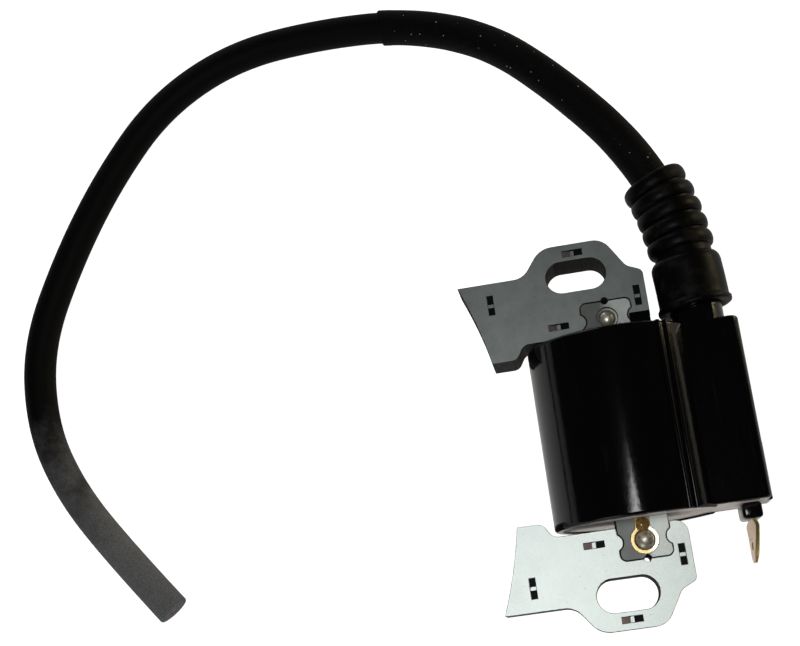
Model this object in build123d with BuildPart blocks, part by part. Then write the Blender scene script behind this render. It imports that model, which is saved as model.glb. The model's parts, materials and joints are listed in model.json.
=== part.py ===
from build123d import *

import math
import os

os.makedirs("parts", exist_ok=True)

# Ignition coil of a small engine, lying on its winding housing.
# X runs from the flywheel side to the module side, Y along the winding, Z up from the bench.
# The profiles are drawn from a line midway along both mounting slots, which stands at X = slot_x.

# ---- Driving dimensions, millimetres ----

# laminated core
sheet_thickness = 0.65
sheet_count = 16
bar_width = 10.2  # core bar through the winding
bar_x = 4.8  # its middle, from the slots
pocket_depth = 6.5  # how far each leg laps the bar's end
slot_length = 12.2
slot_width = 6.5  # clears an M6 screw
slot_web = 2.9  # metal between the bar's pocket and the slot
lobe_wall = 3.5  # metal outside the slot
lobe_left = -6.4  # corners of the lobe's top, from the slots
lobe_right = 6.45
lobe_left_slope = 53.0  # degrees
lobe_right_slope = 58.8
shoulder_slope = 24.0
shoulder_drop = 0.95  # shoulder corner below the slot's middle
right_wall = 3.5  # metal beside the bar's pocket
pole_radius = 89.7  # flywheel radius with its running gap
pole_reach = 17.8  # nearest approach of the flywheel, from the slots
shoe_outer_step = 1.15  # pole shoe beyond the slot's middle
shoe_inner_step = 2.9  # pole shoe nearer the winding than the leg's edge
shoe_root_x = -14.3  # inner step of the shoe, from the slots
shoe_root_run = 1.7

# joint between leg and bar
joint_gap = 0.06
bar_corner_radius = 1.2
key_radius = 1.66  # round keys of the leg in the bar's sides
key_depth = 0.95
key_setback = 3.7  # from the bar's end
key_edge_radius = 0.4
locating_hole_radius = 0.65
leg_radii = [4.0, 4.8, 4.0, 2.5, 1.3, 2.5, 2.0, 2.0]  # round the outline from its outer tip

# interlocks pressed into the sheets
interlock_length = 4.8
interlock_width = 1.2
interlock_floor = 1.4

# rivets and earth strap
rivet_setback = 3.6  # from the bar's end
rivet_radius = 1.3
rivet_clearance = 0.05
rivet_head_radius = 1.75
rivet_head_height = 1.0
rivet_recess_radius = 2.1
rivet_foot_radius = 1.05  # flat under the lower head
rivet_foot_edge = 0.8
strap_thickness = 0.4
strap_width = 3.0
strap_ring_radius = 2.8
strap_tuck = 0.3  # past the bobbin's end
bead_radius = 1.2
bead_height = 0.9

# case
case_length = 36.7
case_leg_gap = 1.05
case_wall = 1.6
foot_depth = 1.2  # flat moulded under the barrel
module_inset = 0.35  # module box shorter than the barrel, at each end
module_reach = 7.9  # module box beyond the barrel's side
module_top = 10.3  # above the bar's axis
module_bottom = 8.7  # below the bar's axis
module_corner_radius = 2.0
least_corner_radius = 0.4
side_pad_thickness = 0.6
side_pad_length = 11.5
side_pad_height = 9.0
rib_angles = (31.5, 37.5)  # seam ribs on the barrel, degrees from its crest
rib_radius = 0.55
potting_recess = 0.4

# high tension tower
tower_setback = 7.0  # its middle from the module's right wall
tower_rise = 2.5  # above the bar's axis
tower_clearance = 0.1
tower_wall = 1.6
tower_length = 13.0
tower_floor = 1.2

# windings
bobbin_clearance = 0.1
bobbin_wall = 0.8
bobbin_end_gap = 0.75
primary_build = 1.4
primary_corner_radius = 1.6
flange_height = 1.9
flange_corner_radius = 2.5
winding_clearance = 0.1  # between the primary and the secondary bobbin
secondary_setback = 1.0  # secondary bobbin shorter than the primary, at each end
section_count = 6
fin_thickness = 0.8
fin_clearance = 0.2
secondary_build = 2.4
winding_edge = 0.5  # bare edge of each fin above the winding

# control board and its components
board_width = 7.2
board_thickness = 1.2
board_mouth_gap = 0.5  # resin over the board's end
board_end_gap = 2.75
board_drop = 4.8  # its middle below the bar's axis
board_right_gap = 0.4
transistor_size = (6.2, 6.4, 2.3)
transistor_y = 4.5
transistor_edge = 0.4
chip_size = (3.9, 4.9, 1.5)
chip_y = -3.5
chip_shift = 0.6  # from the board's middle
chip_edge = 0.25
resistor_size = (1.25, 2.0, 0.55)
resistor_pitch = 2.4
resistor_y = -8.6
resistor_shift = 0.8
capacitor_radius = 2.0
capacitor_height = 3.4
capacitor_y = 11.0
capacitor_edge = 0.3
diode_size = (2.6, 4.6, 1.4)
diode_y = 0.0
diode_edge = 0.3

# terminals and wires
blade_thickness = 0.8
blade_height = 6.3
blade_reach = 11.0  # beyond the case's open end
blade_root = 5.4  # sunk in the resin
blade_setback = 3.6  # its middle from the module's right wall
blade_corner = 1.2
blade_hole_radius = 0.85
blade_hole_setback = 3.2  # from the blade's tip
boss_width = 3.9
boss_height = 8.6
boss_length = 3.1
boss_clearance = 0.05
boss_corner_radius = 0.8
jumper_setback = 1.2  # from the blade's root
ground_jumper_gap = 2.2  # from the board's middle
ground_jumper_bend = 1.5
wire_radius = 0.4
pin_radius = 0.8
pin_length = 11.0
pin_root = 1.6  # inside the case's end wall
hv_wire_radius = 0.3

# boot
boot_start = 2.6  # beyond the module's end
cup_wall = 2.2
cup_lip = 0.4
cup_lip_width = 1.2
cup_length = 12.0
cup_shoulder_radius = 1.0
neck_wall = 2.0
boot_rib_height = 0.9
boot_rib_count = 5
boot_rib_pitch = 3.4
boot_rib_width = 1.9
boot_end = 12.6  # past the route's first bend
boot_clearance = 0.1
boot_bore_end = 0.5

# high tension lead
lead_radius = 3.5
lead_core_radius = 0.8
sleeve_wall = 0.4
sleeve_clearance = 0.1
sleeve_start = 27.0  # along the lead from its inner end
sleeve_end = 108.0
# Route of the lead from the tower to its bare end: X from the slots, Y, Z above the bench.
route_rest = [
    (15.7, 58, 18.3),
    (2.9, 75.8, 16.2),
    (-10.3, 91.1, 11),
    (-28, 100.3, 6.2),
    (-48, 102.7, 4.4),
    (-69, 101.5, 3.8),
    (-87.5, 92.5, 3.5),
    (-101, 77, 3.5),
    (-111.7, 60, 3.5),
    (-120.7, 40.5, 3.5),
    (-121.2, 21.5, 3.5),
    (-116.5, 6, 3.5),
    (-106.6, -9.2, 3.5),
    (-95.2, -22.4, 3.5),
]
first_bend_reach = 21.0  # beyond the module's end
lead_seat_gap = 0.3  # above the tower's floor

# ---- Derived places ----

stack = sheet_count * sheet_thickness
case_half = case_length / 2
module_half = case_half - module_inset
case_mouth = -case_half + potting_recess  # the resin's face
bore_x = bar_width + 2 * bobbin_clearance
bore_z = stack + 2 * bobbin_clearance
spool_x = bore_x + 2 * bobbin_wall
spool_z = bore_z + 2 * bobbin_wall
flange_x = spool_x + 2 * flange_height
flange_z = spool_z + 2 * flange_height
bobbin_length = 2 * (case_half - case_wall - bobbin_end_gap)
secondary_length = bobbin_length - 2 * secondary_setback
flange_reach = flange_corner_radius + math.hypot(
    flange_x / 2 - flange_corner_radius, flange_z / 2 - flange_corner_radius
)
secondary_bore_radius = flange_reach + winding_clearance
spool_radius = secondary_bore_radius + bobbin_wall
fin_radius = spool_radius + secondary_build + winding_edge
barrel_radius = fin_radius + fin_clearance + case_wall + foot_depth
axis_z = barrel_radius - foot_depth
stack_top = axis_z + stack / 2
module_right = bar_x + barrel_radius + module_reach
tower_x = module_right - tower_setback
blade_x = module_right - blade_setback
sleeve_radius = lead_radius + sleeve_clearance + sleeve_wall
tower_bore_radius = lead_radius + tower_clearance
tower_radius = tower_bore_radius + tower_wall
cup_radius = tower_radius + boot_clearance + cup_wall
neck_radius = sleeve_radius + boot_clearance + neck_wall
rib_outer_radius = neck_radius + boot_rib_height
leg_inner_y = case_half + case_leg_gap
bar_end = leg_inner_y + pocket_depth
slot_y = bar_end + slot_web + slot_width / 2
lobe_top = slot_y + slot_width / 2 + lobe_wall
shoe_outer_y = slot_y + shoe_outer_step
shoe_inner_y = leg_inner_y - shoe_inner_step
leg_right = bar_x + bar_width / 2 + right_wall
pole_centre_x = -pole_reach - pole_radius
rivet_y = bar_end - rivet_setback
key_y = bar_end - key_setback
case_right = module_right + side_pad_thickness


def pole_x(y):
    """X of the pole face, from the slots, at a given Y."""
    return pole_centre_x + math.sqrt(pole_radius**2 - y**2)


# The object's box is centred on X = 0, from the pole tips to the case's side pad.
slot_x = -(case_right + pole_x(shoe_outer_y)) / 2
axis_x = slot_x + bar_x
tower_place = (slot_x + tower_x, axis_z + tower_rise)

plan = Plane(origin=(slot_x, 0, axis_z))  # for profiles seen from above


def end_plane(y):
    """The end-on plane at a given Y; its normal points along -Y."""
    return Plane(origin=(axis_x, y, axis_z), x_dir=(1, 0, 0), z_dir=(0, -1, 0))


end_on = end_plane(0)  # for profiles seen along the winding


def along_tower(y):
    """Plane across the tower at a given Y; its normal points out along the tower."""
    return Plane(origin=(tower_place[0], y, tower_place[1]), x_dir=(1, 0, 0), z_dir=(0, 1, 0))


def save(piece, name):
    piece.part.label = name
    export_step(piece.part, f"parts/{name}.step")


# ---- Laminated core ----


def bar_profile(gap):
    """The core bar seen from above with its keyed sides, grown by a gap."""
    with BuildSketch(mode=Mode.PRIVATE) as profile:
        with Locations((bar_x, 0)):
            Rectangle(bar_width + 2 * gap, 2 * (bar_end + gap))
        fillet(profile.vertices(), bar_corner_radius + gap)
        key_x = bar_width / 2 + key_radius - key_depth
        with Locations(*[(bar_x + i * key_x, j * key_y) for i in (-1, 1) for j in (-1, 1)]):
            Circle(key_radius - gap, mode=Mode.SUBTRACT)
        key_edges = profile.vertices().filter_by(lambda v: abs(abs(v.Y) - key_y) < key_radius)
        fillet(key_edges, key_edge_radius)
        with Locations((bar_x, bar_end), (bar_x, -bar_end)):
            Circle(locating_hole_radius, mode=Mode.ADD if gap else Mode.SUBTRACT)
    return profile.sketch


def interlock_places():
    """Middle and direction of each pressed interlock in the upper leg, from the slots."""
    return [
        (shoe_root_x - 3.6, shoe_outer_y - 4.6, 90),
        (0, lobe_top - 1.95, 0),
        (bar_x - bar_width / 2 - 4.7, leg_inner_y + 2.6, 0),
        (leg_right - 1.9, leg_inner_y + 6.6, 90),
    ]


with BuildPart() as core_bar:
    with BuildSketch(plan):
        add(bar_profile(0))
    extrude(amount=stack / 2, both=True)
    with Locations((axis_x, rivet_y, axis_z), (axis_x, -rivet_y, axis_z)):
        Cylinder(rivet_radius + rivet_clearance, 2 * stack, mode=Mode.SUBTRACT)
    with Locations((axis_x, rivet_y, stack_top)):
        Cylinder(rivet_recess_radius, 2 * sheet_thickness, mode=Mode.SUBTRACT)

shoulder_y = slot_y - shoulder_drop
left_run = (lobe_top - shoe_outer_y) / math.tan(math.radians(lobe_left_slope))
steep, gentle = math.tan(math.radians(lobe_right_slope)), math.tan(math.radians(shoulder_slope))
notch_x = (lobe_top - shoulder_y + lobe_right * steep - leg_right * gentle) / (steep - gentle)
notch_y = shoulder_y + (leg_right - notch_x) * gentle
leg_corners = [
    (pole_x(shoe_outer_y), shoe_outer_y),
    (lobe_left - left_run, shoe_outer_y),
    (lobe_left, lobe_top),
    (lobe_right, lobe_top),
    (notch_x, notch_y),
    (leg_right, shoulder_y),
    (leg_right, leg_inner_y),
    (shoe_root_x + shoe_root_run, leg_inner_y),
    (shoe_root_x, shoe_inner_y),
    (pole_x(shoe_inner_y), shoe_inner_y),
]

with BuildPart() as upper_leg:
    with BuildSketch(plan):
        with BuildLine():
            edge = FilletPolyline(*leg_corners, radius=leg_radii)
            mid_y = (shoe_outer_y + shoe_inner_y) / 2
            ThreePointArc(edge @ 1, (pole_x(mid_y), mid_y), edge @ 0)
        make_face()
        with Locations((0, slot_y)):
            SlotOverall(slot_length, slot_width, mode=Mode.SUBTRACT)
        add(bar_profile(joint_gap), mode=Mode.SUBTRACT)
    extrude(amount=stack / 2, both=True)
    for x, y, turn in interlock_places():
        along = Plane(origin=(slot_x + x, y, stack_top)).rotated((90, turn, 0))
        with BuildSketch(along):
            with BuildLine():
                Polyline(
                    (-interlock_length / 2, 0),
                    (-interlock_floor / 2, -sheet_thickness),
                    (interlock_floor / 2, -sheet_thickness),
                    (interlock_length / 2, 0),
                    close=True,
                )
            make_face()
        extrude(amount=interlock_width / 2, both=True, mode=Mode.SUBTRACT)

with BuildPart() as lower_leg:
    mirror(upper_leg.part, about=Plane.XZ)


# ---- Rivets and earth strap ----


def cap_point(radius, height):
    """A point midway up a spherical cap's profile, above its base."""
    sphere_radius = (radius**2 + height**2) / (2 * height)
    x = 0.7 * radius
    return x, height - sphere_radius + math.sqrt(sphere_radius**2 - x**2)


def rivet(head_seat):
    """A domed rivet on the Z axis, its upper head seated at a given height."""
    foot = stack_top - stack
    cap_x, cap_z = cap_point(rivet_head_radius, rivet_head_height)
    with BuildPart(mode=Mode.PRIVATE) as piece:
        with BuildSketch(Plane.XZ):
            with BuildLine():
                Polyline(
                    (0, foot - rivet_head_height),
                    (rivet_foot_radius, foot - rivet_foot_edge),
                    (rivet_head_radius, foot),
                    (rivet_radius, foot),
                    (rivet_radius, head_seat),
                    (rivet_head_radius, head_seat),
                )
                ThreePointArc(
                    (rivet_head_radius, head_seat),
                    (cap_x, head_seat + cap_z),
                    (0, head_seat + rivet_head_height),
                )
                Line((0, head_seat + rivet_head_height), (0, foot - rivet_head_height))
            make_face()
        revolve(axis=Axis.Z)
    return piece.part


with BuildPart() as core_rivets:
    with Locations((axis_x, rivet_y, 0)):
        add(rivet(stack_top - sheet_thickness))
    with Locations((axis_x, -rivet_y, 0)):
        add(rivet(stack_top + strap_thickness))

strap_tail = -bobbin_length / 2 - strap_tuck

with BuildPart() as ground_strap:
    with BuildSketch(Plane(origin=(axis_x, -rivet_y, stack_top))):
        Circle(strap_ring_radius)
        with Locations((0, (rivet_y + strap_tail) / 2)):
            Rectangle(strap_width, rivet_y + strap_tail)
        Circle(rivet_radius + rivet_clearance, mode=Mode.SUBTRACT)
    extrude(amount=strap_thickness)

bead_y = -rivet_y + rivet_head_radius + bead_radius
with BuildPart(mode=Mode.PRIVATE) as bead:
    with BuildSketch(Plane.XZ):
        with BuildLine():
            Line((0, 0), (bead_radius, 0))
            ThreePointArc((bead_radius, 0), cap_point(bead_radius, bead_height), (0, bead_height))
            Line((0, bead_height), (0, 0))
        make_face()
    revolve(axis=Axis.Z)

with BuildPart() as ground_resin_bead:
    with Locations((axis_x, bead_y, stack_top + strap_thickness)):
        add(bead.part)


# ---- Case ----

module_width = module_right - bar_x
module_height = module_top + module_bottom


def housing_profile(inset):
    """Barrel of the case seen along the winding, taken in by a wall."""
    with BuildSketch(mode=Mode.PRIVATE) as profile:
        Circle(barrel_radius - inset)
        with Locations((0, -axis_z + inset)):
            Rectangle(
                2 * barrel_radius,
                barrel_radius,
                align=(Align.CENTER, Align.MAX),
                mode=Mode.SUBTRACT,
            )
    return profile.sketch


def module_profile(inset):
    """Module box of the case seen along the winding, taken in by a wall."""
    with BuildSketch(mode=Mode.PRIVATE) as profile:
        with Locations((0, module_top - inset)):
            Rectangle(
                module_width - inset, module_height - 2 * inset, align=(Align.MIN, Align.MAX)
            )
        outer = profile.vertices().group_by(Axis.X)[-1]
        fillet(outer, max(module_corner_radius - inset, least_corner_radius))
    return profile.sketch


with BuildPart() as coil_case:
    with BuildSketch(end_on):
        add(housing_profile(0))
        for angle in rib_angles:
            turn = math.radians(angle)
            with Locations((barrel_radius * math.sin(turn), barrel_radius * math.cos(turn))):
                Circle(rib_radius)
    extrude(amount=case_half, both=True)
    with BuildSketch(end_on):
        add(module_profile(0))
    extrude(amount=module_half, both=True)
    with Locations((slot_x + module_right, -module_half, axis_z)):
        Box(
            side_pad_thickness * 2,
            side_pad_length,
            side_pad_height,
            align=(Align.CENTER, Align.MIN, Align.CENTER),
        )
    with BuildSketch(along_tower(module_half - case_wall / 2)):
        Circle(tower_radius)
    extrude(amount=tower_length + case_wall / 2)
    # the cavity, open at the lower end
    with BuildSketch(end_plane(-case_half)):
        add(housing_profile(case_wall))
    extrude(amount=-(case_length - case_wall), mode=Mode.SUBTRACT)
    with BuildSketch(end_plane(-case_half)):
        add(module_profile(case_wall))
    extrude(amount=-(case_half + module_half - case_wall), mode=Mode.SUBTRACT)
    # window for the bar in the closed end
    with Locations((axis_x, case_half, axis_z)):
        Box(bore_x, 4 * case_wall, bore_z, mode=Mode.SUBTRACT)
    # socket of the tower, and the hole for its pin
    with BuildSketch(along_tower(module_half + tower_floor)):
        Circle(tower_bore_radius)
    extrude(amount=tower_length, mode=Mode.SUBTRACT)
    with BuildSketch(along_tower(module_half - 2 * case_wall)):
        Circle(pin_radius)
    extrude(amount=2 * case_wall + 2 * tower_floor, mode=Mode.SUBTRACT)

# ---- Windings ----

with BuildPart() as primary_bobbin:
    with BuildSketch(end_on):
        Rectangle(spool_x, spool_z)
    extrude(amount=bobbin_length / 2, both=True)
    for y in (-bobbin_length / 2 + bobbin_wall, bobbin_length / 2):
        with BuildSketch(end_plane(y)):
            RectangleRounded(flange_x, flange_z, flange_corner_radius)
        extrude(amount=bobbin_wall)
    with BuildSketch(end_on):
        Rectangle(bore_x, bore_z)
    extrude(amount=bobbin_length, both=True, mode=Mode.SUBTRACT)

with BuildPart() as primary_winding:
    with BuildSketch(end_on):
        RectangleRounded(
            spool_x + 2 * primary_build, spool_z + 2 * primary_build, primary_corner_radius
        )
        Rectangle(spool_x, spool_z, mode=Mode.SUBTRACT)
    extrude(amount=bobbin_length / 2 - bobbin_wall, both=True)

fin_pitch = (secondary_length - fin_thickness) / section_count

with BuildPart() as secondary_bobbin:
    with BuildSketch(end_on):
        Circle(spool_radius)
    extrude(amount=secondary_length / 2, both=True)
    for i in range(section_count + 1):
        with BuildSketch(end_plane(-secondary_length / 2 + fin_thickness + i * fin_pitch)):
            Circle(fin_radius)
        extrude(amount=fin_thickness)
    with BuildSketch(end_on):
        Circle(secondary_bore_radius)
    extrude(amount=secondary_length, both=True, mode=Mode.SUBTRACT)

with BuildPart() as secondary_winding:
    for i in range(section_count):
        with BuildSketch(end_plane(-secondary_length / 2 + (i + 1) * fin_pitch)):
            Circle(spool_radius + secondary_build)
            Circle(spool_radius, mode=Mode.SUBTRACT)
        extrude(amount=fin_pitch - fin_thickness)

# ---- Control board ----

board_x = slot_x + module_right - case_wall - board_right_gap - board_width / 2
board_z = axis_z - board_drop
board_top = board_z + board_thickness / 2
board_near = case_mouth + board_mouth_gap
board_far = module_half - case_wall - board_end_gap

with BuildPart() as control_board:
    with Locations((board_x, (board_near + board_far) / 2, board_z)):
        Box(board_width, board_far - board_near, board_thickness)

on_board = (Align.CENTER, Align.CENTER, Align.MIN)

with BuildPart() as switching_transistor:
    with Locations((board_x, transistor_y, board_top)):
        Box(*transistor_size, align=on_board)
    chamfer(switching_transistor.faces().sort_by(Axis.Z)[-1].edges(), transistor_edge)

with BuildPart() as control_chip:
    with Locations((board_x - chip_shift, chip_y, board_top)):
        Box(*chip_size, align=on_board)
    chamfer(control_chip.faces().sort_by(Axis.Z)[-1].edges(), chip_edge)

with BuildPart() as chip_resistors:
    with Locations(Plane(origin=(board_x - resistor_shift, resistor_y, board_top))):
        with GridLocations(resistor_pitch, resistor_pitch, 2, 2):
            Box(*resistor_size, align=on_board)

with BuildPart() as timing_capacitor:
    with Locations((board_x, capacitor_y, board_top)):
        Cylinder(capacitor_radius, capacitor_height, align=on_board)
    fillet(timing_capacitor.faces().sort_by(Axis.Z)[-1].edges(), capacitor_edge)

with BuildPart() as flyback_diode:
    with Locations((board_x, diode_y, board_z - board_thickness / 2)):
        Box(*diode_size, align=(Align.CENTER, Align.CENTER, Align.MAX))
    chamfer(flyback_diode.faces().sort_by(Axis.Z)[0].edges(), diode_edge)

# ---- Terminals and wires ----

blade_length = blade_reach + blade_root

with BuildPart() as kill_terminal:
    with BuildSketch(
        Plane(origin=(slot_x + blade_x, 0, axis_z), x_dir=(0, 1, 0), z_dir=(1, 0, 0))
    ) as blade_profile:
        with Locations((-case_half - blade_reach, 0)):
            Rectangle(blade_length, blade_height, align=(Align.MIN, Align.CENTER))
        chamfer(blade_profile.vertices().group_by(Axis.X)[0], blade_corner)
        with Locations((-case_half - blade_reach + blade_hole_setback, 0)):
            Circle(blade_hole_radius, mode=Mode.SUBTRACT)
    extrude(amount=blade_thickness / 2, both=True)

with BuildPart() as terminal_boss:
    with BuildSketch(end_plane(case_mouth).shift_origin((slot_x + blade_x, case_mouth, axis_z))):
        RectangleRounded(boss_width, boss_height, boss_corner_radius)
        Rectangle(
            blade_thickness + 2 * boss_clearance,
            blade_height + 2 * boss_clearance,
            mode=Mode.SUBTRACT,
        )
    extrude(amount=boss_length)

with BuildPart() as terminal_jumper:
    jumper_y = -case_half + blade_root - jumper_setback
    with BuildSketch(Plane(origin=(slot_x + blade_x, jumper_y, board_top))):
        Circle(wire_radius)
    extrude(amount=axis_z - blade_height / 2 - board_top)

ground_wire_y = strap_tail - wire_radius
ground_wire_top = stack_top + strap_thickness + wire_radius
with BuildPart() as ground_jumper:
    with BuildLine():
        wire_path = FilletPolyline(
            (axis_x, ground_wire_y, ground_wire_top),
            (board_x - ground_jumper_gap, ground_wire_y, ground_wire_top),
            (board_x - ground_jumper_gap, ground_wire_y, board_top),
            radius=ground_jumper_bend,
        )
    with BuildSketch(Plane(wire_path @ 0, z_dir=wire_path % 0)):
        Circle(wire_radius)
    sweep()

pin_start = module_half - case_wall - pin_root

with BuildPart() as high_voltage_pin:
    with BuildSketch(along_tower(pin_start)):
        Circle(pin_radius)
    extrude(amount=pin_length)

hv_wire_y = (secondary_length / 2 + module_half - case_wall) / 2
with BuildPart() as high_voltage_wire:
    with BuildSketch(Plane(origin=(axis_x + spool_radius, hv_wire_y, tower_place[1]),
                           x_dir=(0, 1, 0), z_dir=(1, 0, 0))):
        Circle(hv_wire_radius)
    extrude(amount=tower_place[0] - pin_radius - axis_x - spool_radius)

# ---- Lead ----

lead_start = (tower_place[0], module_half + tower_floor + lead_seat_gap, tower_place[1])
first_bend = (tower_place[0], module_half + first_bend_reach, tower_place[1])
route = [lead_start, first_bend] + [(slot_x + x, y, z) for x, y, z in route_rest]


def bend_radii(points):
    """Radius at each inner point: as large as the two runs beside it allow."""
    corners = [Vector(*p) for p in points]
    radii = []
    for before, corner, after in zip(corners, corners[1:], corners[2:]):
        turn = (corner - before).get_angle(after - corner)
        run = min((corner - before).length, (after - corner).length)
        radii.append(0.45 * run / math.tan(math.radians(turn / 2)))
    return radii


radii = bend_radii(route)
print("lead bend radii", [round(r, 1) for r in radii])

with BuildPart() as high_tension_lead:
    with BuildLine():
        lead_path = FilletPolyline(*route, radius=radii)
    with BuildSketch(Plane(lead_path @ 0, z_dir=lead_path % 0)):
        Circle(lead_radius)
        Circle(lead_core_radius, mode=Mode.SUBTRACT)
    sweep()

lead_length = lead_path.length
lead_section = math.pi * (lead_radius**2 - lead_core_radius**2)
print("lead length", round(lead_length, 2))
lead_share = high_tension_lead.part.volume / (lead_section * lead_length)
print("lead volume over section x length", round(lead_share, 4))

core_start = (tower_place[0], pin_start + pin_length, tower_place[1])
with BuildPart() as lead_conductor:
    with BuildLine():
        core_path = FilletPolyline(core_start, *route[1:], radius=radii)
    with BuildSketch(Plane(core_path @ 0, z_dir=core_path % 0)):
        Circle(lead_core_radius)
    sweep()


def lead_plane(distance):
    """Plane square across the lead at a distance along it."""
    place = lead_path.position_at(distance, position_mode=PositionMode.LENGTH)
    along = lead_path.tangent_at(distance, position_mode=PositionMode.LENGTH)
    return Plane(origin=place, z_dir=along)


with BuildPart() as lead_sleeve:
    with BuildLine():
        sleeve_path = FilletPolyline(*route[:7], radius=radii[:5])
    with BuildSketch(Plane(sleeve_path @ 0, z_dir=sleeve_path % 0)):
        Circle(sleeve_radius)
        Circle(lead_radius + sleeve_clearance, mode=Mode.SUBTRACT)
    sweep()
    split(bisect_by=lead_plane(sleeve_start), keep=Keep.TOP)
    split(bisect_by=lead_plane(sleeve_end), keep=Keep.BOTTOM)

# ---- Boot ----

boot_y = module_half + boot_start
bend_direction = (Vector(*route[2]) - Vector(*first_bend)).normalized()
boot_tip = Vector(*first_bend) + bend_direction * boot_end

with BuildPart(mode=Mode.PRIVATE) as sleeve_bore:
    with BuildLine():
        bore_path = FilletPolyline(
            lead_start, first_bend, boot_tip + bend_direction, radius=radii[0]
        )
    with BuildSketch(Plane(bore_path @ 0, z_dir=bore_path % 0)):
        Circle(sleeve_radius + boot_clearance)
    sweep()
    split(bisect_by=lead_plane(sleeve_start - boot_clearance), keep=Keep.TOP)

with BuildPart() as lead_boot:
    with BuildLine():
        boot_path = FilletPolyline(
            (tower_place[0], boot_y, tower_place[1]), first_bend, boot_tip, radius=radii[0]
        )
    with BuildSketch(Plane(boot_path @ 0, z_dir=boot_path % 0)):
        Circle(neck_radius)
    sweep()
    with BuildSketch(along_tower(boot_y)):
        Circle(cup_radius)
    extrude(amount=cup_length)
    circles = lead_boot.edges().filter_by(GeomType.CIRCLE)
    shoulder = circles.filter_by(lambda e: abs(e.radius - cup_radius) < 0.01).sort_by(Axis.Y)[-1]
    fillet(shoulder, cup_shoulder_radius)
    with BuildSketch(along_tower(boot_y)):
        Circle(cup_radius + cup_lip)
    extrude(amount=cup_lip_width)
    boot_length = boot_path.length
    for i in range(boot_rib_count):
        middle = boot_length - boot_rib_width / 2 - i * boot_rib_pitch
        place = boot_path.position_at(middle, position_mode=PositionMode.LENGTH)
        along = boot_path.tangent_at(middle, position_mode=PositionMode.LENGTH)
        with BuildSketch(Plane(origin=place, z_dir=along)):
            Circle(rib_outer_radius)
        extrude(amount=boot_rib_width / 2, both=True)
    # bores for the tower, the lead and the sleeve
    with BuildSketch(along_tower(boot_y)):
        Circle(tower_radius + boot_clearance)
    extrude(amount=tower_length - boot_start + boot_bore_end, mode=Mode.SUBTRACT)
    with BuildSketch(Plane(boot_path @ 0, z_dir=boot_path % 0)):
        Circle(lead_radius + boot_clearance)
    sweep(path=boot_path, mode=Mode.SUBTRACT)
    add(sleeve_bore.part, mode=Mode.SUBTRACT)

# ---- Potting resin: fills the case round everything sealed in it ----

with BuildPart() as potting_resin:
    with BuildSketch(end_plane(case_mouth)):
        add(housing_profile(case_wall))
    extrude(amount=-(case_length - case_wall - potting_recess))
    with BuildSketch(end_plane(case_mouth)):
        add(module_profile(case_wall))
    extrude(amount=-(case_half + module_half - case_wall - potting_recess))
    with Locations((axis_x, 0, axis_z)):
        Box(bore_x, 2 * case_length, bore_z, mode=Mode.SUBTRACT)
    for sealed in (
        primary_bobbin,
        primary_winding,
        secondary_bobbin,
        secondary_winding,
        control_board,
        switching_transistor,
        control_chip,
        chip_resistors,
        timing_capacitor,
        flyback_diode,
        kill_terminal,
        terminal_jumper,
        ground_jumper,
        ground_strap,
        high_voltage_pin,
        high_voltage_wire,
    ):
        add(sealed.part, mode=Mode.SUBTRACT)

pieces = {
    "core_bar": core_bar,
    "upper_leg": upper_leg,
    "lower_leg": lower_leg,
    "core_rivets": core_rivets,
    "ground_strap": ground_strap,
    "ground_resin_bead": ground_resin_bead,
    "coil_case": coil_case,
    "potting_resin": potting_resin,
    "primary_bobbin": primary_bobbin,
    "primary_winding": primary_winding,
    "secondary_bobbin": secondary_bobbin,
    "secondary_winding": secondary_winding,
    "control_board": control_board,
    "switching_transistor": switching_transistor,
    "control_chip": control_chip,
    "chip_resistors": chip_resistors,
    "timing_capacitor": timing_capacitor,
    "flyback_diode": flyback_diode,
    "kill_terminal": kill_terminal,
    "terminal_boss": terminal_boss,
    "terminal_jumper": terminal_jumper,
    "ground_jumper": ground_jumper,
    "high_voltage_pin": high_voltage_pin,
    "high_voltage_wire": high_voltage_wire,
    "lead_boot": lead_boot,
    "lead_sleeve": lead_sleeve,
    "high_tension_lead": high_tension_lead,
    "lead_conductor": lead_conductor,
}
for name, piece in pieces.items():
    save(piece, name)
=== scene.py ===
"""Ignition coil of a small engine: the visible pieces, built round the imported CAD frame."""

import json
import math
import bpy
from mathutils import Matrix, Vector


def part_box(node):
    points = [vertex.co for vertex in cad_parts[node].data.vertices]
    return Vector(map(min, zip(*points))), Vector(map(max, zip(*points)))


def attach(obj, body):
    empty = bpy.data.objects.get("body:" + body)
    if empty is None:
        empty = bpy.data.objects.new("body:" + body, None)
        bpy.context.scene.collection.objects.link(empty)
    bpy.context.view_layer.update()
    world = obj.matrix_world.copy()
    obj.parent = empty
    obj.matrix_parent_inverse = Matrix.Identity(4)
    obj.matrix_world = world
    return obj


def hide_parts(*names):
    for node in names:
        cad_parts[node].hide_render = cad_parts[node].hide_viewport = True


bl_info = {
    "name": "Ignition Coil",
    "version": (1, 0, 0),
    "blender": (4, 5, 0),
    "location": "View3D > Sidebar > Ignition Coil",
    "description": "Builds the core, case, terminal, boot and lead of an ignition coil",
    "category": "Object",
}

import bmesh
import bpy
from bpy.props import FloatProperty, FloatVectorProperty, IntProperty, PointerProperty
from mathutils import Matrix, Vector, noise

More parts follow.
